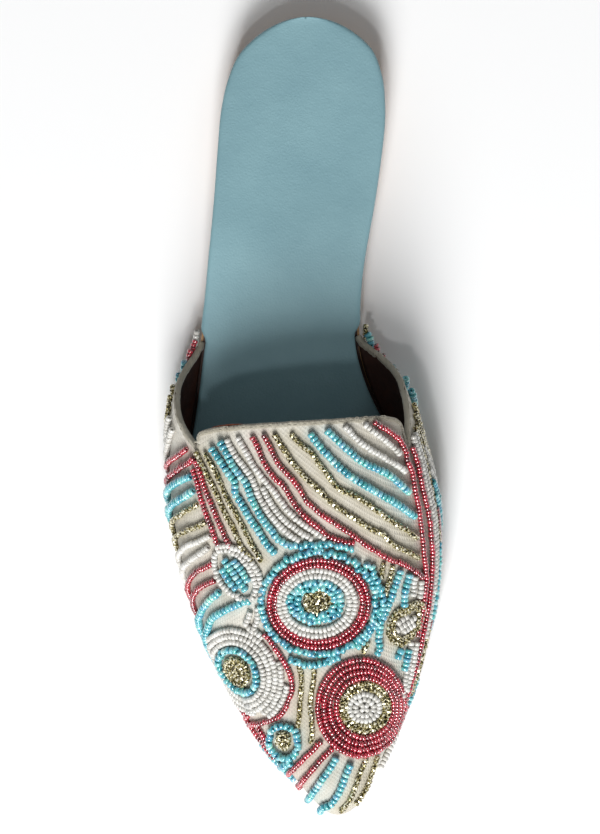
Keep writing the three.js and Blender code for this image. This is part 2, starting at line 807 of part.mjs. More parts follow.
// Rings of beads as one disc that follows the upper, higher where a ring stands higher.
function makeRosette({ at, across, long, wide, turn, spokes, rings }) {
  const angle = THREE.MathUtils.degToRad(turn);
  const tallest = beads.turquoise.high;
  const spot = (out, spoke, lift) => {
    const round = (2 * Math.PI * spoke) / spokes;
    const ahead = out * long * shoeLength * Math.cos(round);
    const over = out * wide * ballWidth * Math.sin(round);
    const station = at + (ahead * Math.cos(angle) - over * Math.sin(angle)) / shoeLength;
    const aside = ahead * Math.sin(angle) + over * Math.cos(angle);
    const { girth } = faceSpot(station, across);
    const reached = girthAfter(station, girth, aside);
    return facePoint(station, reached).addScaledVector(faceNormal(station, reached), lift);
  };
  const triangles = [];
  for (let n = 0; n < spokes; n += 1) {
    const ray = (spoke, raised) =>
      rings.map(({ out, high }) => spot(out, spoke, beadGap + raised * high * tallest));
    const [top, topNext, low, lowNext] = [ray(n, 1), ray(n + 1, 1), ray(n, 0), ray(n + 1, 0)];
    const rim = rings.length - 1;
    for (let k = 0; k < rim; k += 1) {
      triangles.push(...quad(top[k], top[k + 1], topNext[k + 1], topNext[k]));
      triangles.push(...quad(low[k], lowNext[k], lowNext[k + 1], low[k + 1]));
    }
    triangles.push(...quad(top[rim], low[rim], lowNext[rim], topNext[rim]));
  }
  return fromTriangles(triangles);
}

// The assembly

const finishes = {
  outsole: { color: 0xb08a58, roughness: 0.6, metalness: 0 },
  heel: { color: 0xb98c50, roughness: 0.6, metalness: 0 },
  insole: { color: 0x7b9fa9, roughness: 0.5, metalness: 0 },
  upper: { color: 0xd9d4c9, roughness: 0.7, metalness: 0 },
  gold: { color: 0x8c8455, roughness: 0.3, metalness: 0 },
  red: { color: 0xb8304a, roughness: 0.25, metalness: 0 },
  white: { color: 0xe6e2da, roughness: 0.3, metalness: 0 },
  turquoise: { color: 0x5fc3dc, roughness: 0.25, metalness: 0 },
};

function meshOf(name, solid, finish) {
  const { vertProperties, triVerts } = solid.getMesh();
  const geometry = new THREE.BufferGeometry()
    .setAttribute("position", new THREE.BufferAttribute(new Float32Array(vertProperties), 3))
    .setIndex(new THREE.BufferAttribute(new Uint32Array(triVerts), 1));
  geometry.computeVertexNormals();
  const mesh = new THREE.Mesh(geometry, new THREE.MeshStandardMaterial(finishes[finish]));
  mesh.name = name;
  return mesh;
}

const shoe = new THREE.Group();
shoe.add(meshOf("outsole", makeOutsole(), "outsole"));
shoe.add(meshOf("heel", makeHeel(), "heel"));
shoe.add(meshOf("insole", makeInsole(), "insole"));
shoe.add(meshOf("upper", makeUpper(), "upper"));
for (const strand of strands) shoe.add(meshOf(strand.name, makeStrand(strand), strand.bead));
for (const rosette of rosettes) shoe.add(meshOf(rosette.name, makeRosette(rosette), rosette.bead));

// The origin goes under the middle of the shoe.
const extent = new THREE.Box3().setFromObject(shoe, true);
const middle = extent.getCenter(new THREE.Vector3());
shoe.position.set(-middle.x, -middle.y, -extent.min.z);

export default shoe;
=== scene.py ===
# A right-foot flat mule with a pointed toe and a cloth upper covered in strings of glass seed beads.
# Shapes are worked out in millimetres: "along" runs from the back of the heel to the toe tip, "across"
# from the line between those two points, positive towards the inner side of the foot.
import bpy
import math
import numpy as np
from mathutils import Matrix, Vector, kdtree


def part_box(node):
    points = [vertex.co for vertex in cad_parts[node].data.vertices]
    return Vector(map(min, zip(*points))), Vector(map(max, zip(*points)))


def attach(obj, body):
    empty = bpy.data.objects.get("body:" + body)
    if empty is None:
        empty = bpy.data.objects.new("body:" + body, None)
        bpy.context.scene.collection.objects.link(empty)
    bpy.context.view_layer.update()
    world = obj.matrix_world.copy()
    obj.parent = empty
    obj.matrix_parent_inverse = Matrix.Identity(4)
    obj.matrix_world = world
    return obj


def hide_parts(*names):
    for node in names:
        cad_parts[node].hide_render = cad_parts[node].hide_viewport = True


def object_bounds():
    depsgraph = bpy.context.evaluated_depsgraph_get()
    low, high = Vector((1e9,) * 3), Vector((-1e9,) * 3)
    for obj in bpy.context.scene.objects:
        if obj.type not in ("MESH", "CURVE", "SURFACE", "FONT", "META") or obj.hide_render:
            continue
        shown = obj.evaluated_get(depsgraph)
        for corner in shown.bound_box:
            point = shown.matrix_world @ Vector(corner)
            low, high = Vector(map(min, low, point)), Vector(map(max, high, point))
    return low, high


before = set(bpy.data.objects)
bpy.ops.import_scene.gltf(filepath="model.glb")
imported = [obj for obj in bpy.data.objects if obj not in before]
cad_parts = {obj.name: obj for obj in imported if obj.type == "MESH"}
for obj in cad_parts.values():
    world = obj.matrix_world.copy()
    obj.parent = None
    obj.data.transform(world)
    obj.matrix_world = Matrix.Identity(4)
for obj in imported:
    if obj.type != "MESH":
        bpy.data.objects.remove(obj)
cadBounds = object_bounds()
print("frame loaded")

shoe = {
    "length": 262.0, "ballWidth": 81.0, "heelSeatWidth": 53.6, "heelHeight": 9.0, "toeSpring": 6.0,
    "instepHeight": 50.0, "outsoleThickness": 3.2, "treadDepth": 0.9, "insoleThickness": 3.0,
    "upperWall": 1.8, "glueGap": 0.3, "insoleFit": 0.5, "insoleOverhang": 0.5, "upperOverhang": 0.6,
    "heelTaper": 0.8, "archFrom": 0.245, "flatFrom": 0.535, "springFrom": 0.8, "toeRoom": 3.5,
    "toeRoomFrom": 0.93, "insoleNarrowsFrom": 0.383, "insoleNarrowsTo": 0.401, "wingEnd": 0.4,
    "wallShare": 0.18, "tongueSquareness": 6.0,
    "roundness": {"lateral": 2.05, "medial": 2.4},
    "tongueTop": {"lateral": 0.51, "medial": 0.502},
    "notch": {"lateral": 0.533, "medial": 0.536},
    "heelBreast": {"medial": 0.24, "lateral": 0.226},
}
length = shoe["length"]

# Outline of the sole: share of the length, centre in ball widths, half width in widths of the heel seat (h)
# or of the ball (b)
soleOutline = [
    (0.0, -0.006, 0.0, "h"), (0.038, -0.011, 0.38, "h"), (0.076, -0.019, 0.466, "h"),
    (0.115, -0.031, 0.496, "h"), (0.153, -0.044, 0.5, "h"), (0.229, -0.079, 0.489, "h"),
    (0.305, -0.122, 0.474, "h"), (0.344, -0.14, 0.472, "h"), (0.382, -0.154, 0.318, "b"),
    (0.42, -0.162, 0.333, "b"), (0.458, -0.157, 0.358, "b"), (0.496, -0.143, 0.395, "b"),
    (0.534, -0.122, 0.441, "b"), (0.573, -0.098, 0.48, "b"), (0.611, -0.084, 0.497, "b"),
    (0.649, -0.077, 0.498, "b"), (0.687, -0.07, 0.485, "b"), (0.725, -0.061, 0.462, "b"),
    (0.763, -0.053, 0.431, "b"), (0.802, -0.045, 0.391, "b"), (0.84, -0.037, 0.342, "b"),
    (0.878, -0.03, 0.287, "b"), (0.916, -0.018, 0.221, "b"), (0.954, -0.002, 0.141, "b"),
    (0.985, 0.005, 0.073, "b"), (1.0, 0.006, 0.0, "b"),
]
# Upper: share of the length, ridge and widest height in instep heights, lean and bulges in ball widths
upperSections = [
    (0.4, 1.03, 0.08, 0.11, 0.008, 0.018), (0.42, 1.03, 0.16, 0.11, 0.037, 0.075),
    (0.44, 1.02, 0.23, 0.108, 0.062, 0.112), (0.46, 1.02, 0.29, 0.105, 0.078, 0.13),
    (0.496, 1.0, 0.34, 0.1, 0.079, 0.116), (0.534, 0.972, 0.3, 0.09, 0.06, 0.078),
    (0.573, 0.928, 0.25, 0.076, 0.049, 0.043), (0.611, 0.872, 0.22, 0.07, 0.041, 0.027),
    (0.649, 0.81, 0.2, 0.065, 0.032, 0.022), (0.706, 0.712, 0.19, 0.056, 0.025, 0.019),
    (0.763, 0.616, 0.18, 0.05, 0.023, 0.017), (0.84, 0.49, 0.15, 0.038, 0.023, 0.017),
    (0.916, 0.356, 0.12, 0.02, 0.022, 0.016), (0.954, 0.268, 0.09, 0.007, 0.017, 0.014),
    (0.985, 0.158, 0.05, 0.001, 0.013, 0.013), (1.0, 0.0, 0.0, 0.0, 0.0, 0.0),
]
# Seams beside the middle panel: share of the length, then what the side panel takes of the outer and of the
# inner side's girth
seamLines = [
    (0.4, 0.5, 0.5), (0.534, 0.514, 0.49), (0.573, 0.54, 0.473), (0.611, 0.586, 0.452),
    (0.649, 0.633, 0.42), (0.687, 0.655, 0.372), (0.725, 0.672, 0.332), (0.802, 0.675, 0.27),
    (0.878, 0.68, 0.25), (1.0, 0.7, 0.25),
]
# The collar's climb up the side, and how far forward it has come from the wing's end to the notch
collarClimb = [(0.0, 0.0), (0.2, 0.15), (0.45, 0.4), (0.7, 0.7), (0.88, 0.89), (1.0, 1.0)]


# Stations spread so that the round ends of the sole get more of them
def stretched(at):
    return np.arccos(1 - 2 * np.clip(at, 0, 1)) / math.pi


# A smooth curve through one column of a table
def curveThrough(rows, value, spread=lambda x: x):
    x = np.array([float(spread(row[0])) for row in rows])
    y = np.array([value(row) for row in rows])
    before = np.maximum(np.arange(len(x)) - 1, 0)
    after = np.minimum(np.arange(len(x)) + 1, len(x) - 1)
    slope = (y[after] - y[before]) / (x[after] - x[before])

    def curve(position):
        p = np.clip(spread(np.asarray(position, float)), x[0], x[-1])
        k = np.clip(np.searchsorted(x, p, side="left") - 1, 0, len(x) - 2)
        step = x[k + 1] - x[k]
        f = (p - x[k]) / step
        start = (1 + 2 * f) * (1 - f) ** 2 * y[k] + f * (1 - f) ** 2 * slope[k] * step
        return start + f ** 2 * (3 - 2 * f) * y[k + 1] + f ** 2 * (f - 1) * slope[k + 1] * step

    return curve


widthOf = {"h": shoe["heelSeatWidth"], "b": shoe["ballWidth"]}
centreLine = curveThrough(soleOutline, lambda r: r[1] * shoe["ballWidth"], stretched)
halfWidth = curveThrough(soleOutline, lambda r: r[2] * widthOf[r[3]], stretched)
ridgeHeight = curveThrough(upperSections, lambda r: r[1] * shoe["instepHeight"], stretched)
widestHeight = curveThrough(upperSections, lambda r: r[2] * shoe["instepHeight"], stretched)
ridgeLean = curveThrough(upperSections, lambda r: r[3] * shoe["ballWidth"], stretched)
bulgeLateral = curveThrough(upperSections, lambda r: r[4] * shoe["ballWidth"], stretched)
bulgeMedial = curveThrough(upperSections, lambda r: r[5] * shoe["ballWidth"], stretched)
seamLateral = curveThrough(seamLines, lambda r: r[1])
seamMedial = curveThrough(seamLines, lambda r: r[2])
collarForward = curveThrough(collarClimb, lambda r: r[1])


def ease(x):
    f = np.clip(x, 0, 1)
    return f * f * (3 - 2 * f)


def mix(a, b, share):
    return a + (b - a) * share


def soleEdge(side, at):
    return centreLine(at) + side * np.maximum(halfWidth(at), 0)


def undersideHeight(at):
    arch = shoe["heelHeight"] * ease((shoe["flatFrom"] - at) / (shoe["flatFrom"] - shoe["archFrom"]))
    return arch + shoe["toeSpring"] * np.maximum((at - shoe["springFrom"]) / (1 - shoe["springFrom"]), 0) ** 2


def outsoleTop(at):
    return undersideHeight(at) + shoe["outsoleThickness"]


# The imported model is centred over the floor; the sole's own box says how far it was moved.
low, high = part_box("outsole")
stations = (1 - np.cos(np.linspace(0, math.pi, 800))) / 2
plan = {"medial": soleEdge(1, stations), "lateral": soleEdge(-1, stations)}
shift = np.array([
    (low[0] + high[0]) * 500 - (plan["medial"].max() + plan["lateral"].min()) / 2,
    (low[1] + high[1]) * 500 + length / 2,
    0.0,
])


def inFrame(at, across, height):
    parts = np.broadcast_arrays(np.asarray(across, float), -np.asarray(at, float) * length, height)
    return np.stack(parts, axis=-1) + shift


# The face of the upper. Girth is 0 on the ridge, -1 at the foot of the outer side and 1 of the inner.
def facePoint(at, girth):
    at = np.asarray(at, float)
    girth = np.asarray(girth, float)
    side = np.where(girth < 0, -1.0, 1.0)
    climb = 1 - np.minimum(np.abs(girth), 1)
    bulge = np.where(girth < 0, bulgeLateral(at), bulgeMedial(at))
    edge = centreLine(at) + side * (np.maximum(halfWidth(at), 0) + np.minimum(shoe["upperOverhang"], bulge))
    widest = centreLine(at) + side * (np.maximum(halfWidth(at), 0) + bulge)
    ridge = centreLine(at) + ridgeLean(at)
    tip = ease((at - shoe["toeRoomFrom"]) / (1 - shoe["toeRoomFrom"]))
    reach = at + shoe["upperOverhang"] / length * tip
    foot = outsoleTop(at) + shoe["glueGap"]
    wall = shoe["wallShare"]
    rise = climb / wall
    turn = np.clip((climb - wall) / (1 - wall), 0, 1) * math.pi / 2
    power = 2 / np.where(girth < 0, shoe["roundness"]["lateral"], shoe["roundness"]["medial"])
    low = climb < wall
    across = np.where(
        low,
        widest - (widest - edge) * (1 - np.minimum(rise, 1)) ** 2,
        ridge + (widest - ridge) * np.maximum(np.cos(turn), 0) ** power,
    )
    over = (ridgeHeight(at) - widestHeight(at)) * np.sin(turn) ** power
    height = foot + np.where(low, widestHeight(at) * np.minimum(rise, 1), widestHeight(at) + over)
    return inFrame(reach, across, height)


def runOf(points):
    return np.concatenate([[0], np.cumsum(np.linalg.norm(np.diff(points, axis=0), axis=1))])


def unit(vectors):
    return vectors / np.maximum(np.linalg.norm(vectors, axis=-1, keepdims=True), 1e-9)


# How far to each side the face is felt for its slope, in millimetres along and in girth, and where that ends
feel = {"along": 0.6, "over": 0.012, "probe": 0.01, "beforeTip": 1.2, "lastGirth": 0.985}


def faceNormal(at, girth):
    at = np.minimum(np.asarray(at, float), 1 - feel["beforeTip"] / length)
    girth = np.clip(np.asarray(girth, float), -feel["lastGirth"], feel["lastGirth"])
    step = feel["along"] / length
    ahead = facePoint(at + step, girth) - facePoint(at - step, girth)
    over = facePoint(at, girth + feel["over"]) - facePoint(at, girth - feel["over"])
    return unit(np.cross(ahead, over))


# Station and girth of the face straight under a place in the plan
def spotOf(along, across):
    at = along / length
    ridge = centreLine(at) + ridgeLean(at)
    left = across < ridge
    side = np.where(left, -1.0, 1.0)
    bulge = np.where(left, bulgeLateral(at), bulgeMedial(at))
    widest = centreLine(at) + side * (np.maximum(halfWidth(at), 0) + bulge)
    roundness = np.where(left, shoe["roundness"]["lateral"], shoe["roundness"]["medial"])
    out = np.clip((across - ridge) / (widest - ridge), 0, None)
    turn = np.arccos(np.minimum(out, 1) ** (roundness / 2))
    over = side * (1 - shoe["wallShare"]) * (1 - turn * 2 / math.pi)
    down = np.minimum(np.abs(across - widest) / np.maximum(widestHeight(at), 1), 1)
    return at, np.where(out < 1, over, side * (1 - shoe["wallShare"] + shoe["wallShare"] * down))


# The chart is read from straight above, so a bead's middle, which stands off the face, is put there, in a few
# tries that each take up most of the error
charting = {"tries": 6, "share": 0.7, "meanLift": 1.0}


def chartSpots(points, lift):
    goal = np.array(points, float)
    aim = goal.copy()
    for _ in range(charting["tries"]):
        at, girth = spotOf(aim[:, 0], aim[:, 1])
        middle = facePoint(at, girth) + faceNormal(at, girth) * lift - shift
        error = np.stack([goal[:, 0] + middle[:, 1], goal[:, 1] - middle[:, 0]], axis=1)
        aim += error * charting["share"] * (np.abs(girth) < 1 - shoe["wallShare"])[:, None]
    at, girth = spotOf(aim[:, 0], aim[:, 1])
    return np.stack([at, girth], axis=1)


def spline(points, closed=False, per=14):
    p = np.array(points, float)
    if len(p) < 3 and not closed:
        f = np.linspace(0, 1, per)[:, None]
        return p[0] * (1 - f) + p[-1] * f
    before, after = (p[-1:], p[:2]) if closed else (2 * p[0] - p[1], 2 * p[-1] - p[-2])
    padded = np.vstack([before, p, after])
    out = []
    for k in range(len(padded) - 3):
        a, b, c, d = padded[k:k + 4]
        for f in np.arange(per) / per:
            out.append(0.5 * (2 * b + (c - a) * f + (2 * a - 5 * b + 4 * c - d) * f * f
                              + (3 * b - a - 3 * c + d) * f ** 3))
    if not closed:
        out.append(p[-1])
    return np.array(out)


# Meshes from arrays
def meshPiece(name, points, faces, material, smooth=True, tones=None, slots=None):
    mesh = bpy.data.meshes.new(name)
    points = np.asarray(points, np.float32).reshape(-1, 3) / 1000
    faces = [np.asarray(f, np.int32) for f in (faces if isinstance(faces, list) else [faces])]
    loops = np.concatenate([f.ravel() for f in faces])
    sizes = np.concatenate([np.full(len(f), f.shape[1], np.int32) for f in faces])
    mesh.vertices.add(len(points))
    mesh.vertices.foreach_set("co", points.ravel())
    mesh.loops.add(len(loops))
    mesh.loops.foreach_set("vertex_index", loops)
    mesh.polygons.add(len(sizes))
    mesh.polygons.foreach_set("loop_start", np.concatenate([[0], np.cumsum(sizes)[:-1]]).astype(np.int32))
    mesh.polygons.foreach_set("use_smooth", np.full(len(sizes), smooth))
    if tones is not None:
        tone = mesh.attributes.new("tone", "FLOAT", "POINT")
        tone.data.foreach_set("value", np.asarray(tones, np.float32))
    for one in (material if isinstance(material, list) else [material]):
        mesh.materials.append(one)
    if slots is not None:
        mesh.polygons.foreach_set("material_index", np.asarray(slots, np.int32))
    mesh.update()
    mesh.validate()
    piece = bpy.data.objects.new(name, mesh)
    bpy.context.scene.collection.objects.link(piece)
    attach(piece, "root")
    return piece


# Materials
def hexColour(text, alpha=1.0):
    parts = [int(text[k:k + 2], 16) / 255 for k in (1, 3, 5)]
    return [c / 12.92 if c <= 0.04045 else ((c + 0.055) / 1.055) ** 2.4 for c in parts] + [alpha]


def socketOf(node, key):
    numbered = key[0] == "i" and key[1:].isdigit()
    return node.inputs[int(key[1:]) if numbered else key.replace("_", " ")]


# Adds a node with its settings; an input is named, or numbered as i0, i1 and so on
def addNode(tree, kind, settings=None, **inputs):
    node = tree.nodes.new(kind)
    for key, value in (settings or {}).items():
        setattr(node, key, value)
    for key, value in inputs.items():
        socket = socketOf(node, key)
        if isinstance(value, bpy.types.NodeSocket):
            tree.links.new(value, socket)
        else:
            socket.default_value = value
    return node


def newMaterial(name, **values):
    material = bpy.data.materials.new(name)
    material.use_nodes = True
    tree = material.node_tree
    shader = tree.nodes["Principled BSDF"]
    for key, value in values.items():
        shader.inputs[key.replace("_", " ")].default_value = value
    return material, tree, shader


def ramp(tree, factor, stops):
    node = addNode(tree, "ShaderNodeValToRGB", Fac=factor)
    band = node.color_ramp
    while len(band.elements) < len(stops):
        band.elements.new(0.5)
    for element, (position, colour) in zip(band.elements, stops):
        element.position = position
        element.color = hexColour(colour) if isinstance(colour, str) else colour
    return node.outputs["Color"]


def bumpOn(tree, shader, height, distance, strength=1.0, before=None):
    extra = {"Normal": before} if before is not None else {}
    node = addNode(tree, "ShaderNodeBump", Height=height, Distance=distance, Strength=strength, **extra)
    tree.links.new(node.outputs["Normal"], shader.inputs["Normal"])
    return node.outputs["Normal"]


def objectPlace(tree):
    return addNode(tree, "ShaderNodeTexCoord").outputs["Object"]


def noise(tree, place, millimetres, detail=4.0, rough=0.55):
    node = addNode(tree, "ShaderNodeTexNoise", Vector=place, Scale=1000 / millimetres, Detail=detail,
                   Roughness=rough)
    return node.outputs["Fac"]


# Fine cell-shaped creases, as in an embossed leather grain
def creases(tree, place, every):
    settings = {"feature": "DISTANCE_TO_EDGE"}
    node = addNode(tree, "ShaderNodeTexVoronoi", settings, Vector=place, Scale=1000 / every)
    return node.outputs["Distance"]


def multiply(tree, first, second):
    settings = {"data_type": "RGBA", "blend_type": "MULTIPLY"}
    return addNode(tree, "ShaderNodeMix", settings, i0=1.0, i6=first, i7=second).outputs[2]


# A material whose colour wanders between two tones every so many millimetres
def tonedMaterial(name, tones, every, detail=4.0, **values):
    material, tree, shader = newMaterial(name, **values)
    place = objectPlace(tree)
    colour = ramp(tree, noise(tree, place, every, detail), [(0.3, tones[0]), (0.7, tones[1])])
    tree.links.new(colour, shader.inputs["Base Color"])
    return material, tree, shader, place


# Pressed glass seed beads, fire-polished: each bead takes its own tone from its dye lot, and its ends carry
# painted shade in that tone
def glassBeads(name, stops, roughness, coat, film=None, **more):
    material, tree, shader = newMaterial(
        name, Roughness=roughness, Coat_Weight=coat, Coat_Roughness=0.05, **more)
    tone = addNode(tree, "ShaderNodeAttribute", {"attribute_name": "tone"}).outputs["Fac"]
    colour = ramp(tree, tone, stops)
    if film:
        colour = multiply(tree, colour, ramp(tree, noise(tree, objectPlace(tree), 2.4, 1.0), film))
    tree.links.new(colour, shader.inputs["Base Color"])
    return material


# Turquoise lustre glass: milky body under a shiny film that throws back much of the light and leans to
# violet and to green from bead to bead
turquoiseGlass = glassBeads(
    "turquoise_lustre_glass", [(0.0, "#35909F"), (0.4, "#5FB4BF"), (0.7, "#84C9CC"), (1.0, "#B4E0DC")],
    0.2, 0.8, film=[(0.34, "#EDE6FF"), (0.46, "#FFFFFF"), (0.56, "#FFFFFF"), (0.7, "#E2FFEA")],
    IOR=1.7, Coat_IOR=1.7)
# Raspberry colour-lined glass: a small hard glint on each crown; its deep edges are painted shade on the
# bead's ends
redGlass = glassBeads(
    "raspberry_lined_glass", [(0.0, "#5A0613"), (0.45, "#A8142B"), (0.7, "#BC1C34"), (1.0, "#CC4054")],
    0.09, 1.0, IOR=1.9, Coat_IOR=1.9)
# Pearl-coated white glass: soft satin highlight over a warm white that light passes through
pearlGlass = glassBeads(
    "pearl_white_glass", [(0.0, "#BDBBB4"), (0.5, "#CDCBC5"), (1.0, "#DCDBD6")], 0.28, 0.5, IOR=1.5,
    Subsurface_Weight=0.4, Subsurface_Scale=0.0009, Subsurface_Radius=(1.0, 0.95, 0.9))
# Silver-lined olive glass: its colour is a fine noise in which each bead is part black, part olive and part
# white, painted highlight and painted shade for the sparkle of the lining behind the glass
goldGlass, tree, shader = newMaterial(
    "olive_silver_lined_glass", Roughness=0.16, Metallic=0.4, Coat_Weight=0.8, Coat_Roughness=0.05)
paintedSparkle = noise(tree, objectPlace(tree), 0.62, 0.0)
tree.links.new(
    ramp(tree, paintedSparkle, [(0.36, "#1E190C"), (0.44, "#877A46"), (0.55, "#B5A96A"), (0.64, "#F6F1DC")]),
    shader.inputs["Base Color"])


# Beads: size across, height, step on the string in millimetres, how dark the painted shade on the ends is,
# and the glass
beadKinds = {
    "turquoise": {"wide": 2.75, "high": 2.6, "pitch": 1.62, "ends": 0.3, "material": turquoiseGlass},
    "red": {"wide": 2.1, "high": 1.95, "pitch": 1.2, "ends": 0.4, "material": redGlass},
    "white": {"wide": 2.35, "high": 2.0, "pitch": 1.4, "ends": 0.0, "material": pearlGlass},
    "gold": {"wide": 1.95, "high": 1.9, "pitch": 1.42, "ends": 0.0, "material": goldGlass},
}
threadGap = 0.05
rng = np.random.default_rng(27)
# By piece: kind, middles, normals and headings of the beads, their step, and how loosely they lie
threaded = {}

# A ring on the steep flank keeps its beads together: measured over the face, no point lies further from the
# ring's middle than this stretch times its charted distance, with a little slack
flank = {"stretch": 1.2, "slack": 0.4, "lowest": 0.96, "steps": 80}


def drawnIn(spots, chart):
    middle = chartSpots([chart.mean(axis=0)], charting["meanLift"])[0, 1]
    side = np.sign(spots[:, 1] - middle)
    outward = side == np.sign(spots[:, 1])
    share = np.linspace(0, 1, flank["steps"])
    way = middle + (np.where(outward, side * flank["lowest"], spots[:, 1]) - middle)[:, None] * share
    trail = facePoint(np.repeat(spots[:, :1], len(share), axis=1), way)
    run = np.cumsum(np.linalg.norm(np.diff(trail, axis=1, prepend=trail[:, :1]), axis=2), axis=1)
    most = flank["stretch"] * np.abs(chart[:, 1] - chart[:, 1].mean()) + flank["slack"]
    limit = np.array([np.interp(m, r, w) for m, r, w in zip(most, run, way)])
    over = outward & ((np.abs(limit) < np.abs(spots[:, 1])) | (np.abs(spots[:, 1]) > 1 - shoe["wallShare"]))
    return np.stack([spots[:, 0], np.where(over, limit, spots[:, 1])], axis=1)


# A bead's middle stands off the cloth by half its height and the thread under it
def standOff(kind):
    return beadKinds[kind]["high"] / 2 + threadGap


# Stations and girths along a string
def spotTrail(kind, path, wall, closed):
    if not wall:
        chart = spline(path, closed, 6)
        spots = chartSpots(chart, standOff(kind))
        if closed:
            return drawnIn(spots, chart)
        widest = 1 - shoe["wallShare"]
        return np.stack([spots[:, 0], np.clip(spots[:, 1], -widest, widest)], axis=1)
    knots = [chartSpots(path, standOff(kind))] if path else []
    knots.append(np.array([(along / length, girth) for along, girth in wall]))
    return spline(np.vstack(knots), False, 12)


# One string of beads at even steps over the face: charted from above, then down the wall by station and girth
def addString(piece, kind, path=(), wall=(), closed=False, loose=0.0):
    spots = spotTrail(kind, path, wall, closed)
    if closed:
        spots = np.vstack([spots, spots[:1]])
    trail = facePoint(spots[:, 0], spots[:, 1]) + faceNormal(spots[:, 0], spots[:, 1]) * standOff(kind)
    run = runOf(trail)
    count = max(int(round(run[-1] / beadKinds[kind]["pitch"])), 2)
    where = (np.arange(count) + 0.5) * run[-1] / count
    spotAt = [np.interp(where, run, spots[:, k]) for k in range(2)]
    middle, ahead, behind = [
        np.stack([np.interp(where + off, run, trail[:, k]) for k in range(3)], axis=1)
        for off in (0, feel["along"], -feel["along"])
    ]
    string = (kind, middle, faceNormal(*spotAt), unit(ahead - behind), run[-1] / count, loose)
    threaded.setdefault(piece, []).append(string)


# A round or oval ring, charted: middle, half sizes along and across, and its turn in degrees
def ring(along, across, halfAlong, halfAcross, turn=0, steps=26):
    turns = np.linspace(0, 2 * math.pi, steps, endpoint=False)
    a, b = halfAlong * np.cos(turns), halfAcross * np.sin(turns)
    c, s = math.cos(math.radians(turn)), math.sin(math.radians(turn))
    return np.stack([along + a * c - b * s, across + a * s + b * c], axis=1)


# Rings round one middle, by their half sizes along and across
def addRings(kind, middle, sizes, turn=0, steps=26, loose=0.0):
    for half in sizes:
        addString(kind + "_ring_beads", kind, ring(*middle, *half, turn, steps), closed=True, loose=loose)


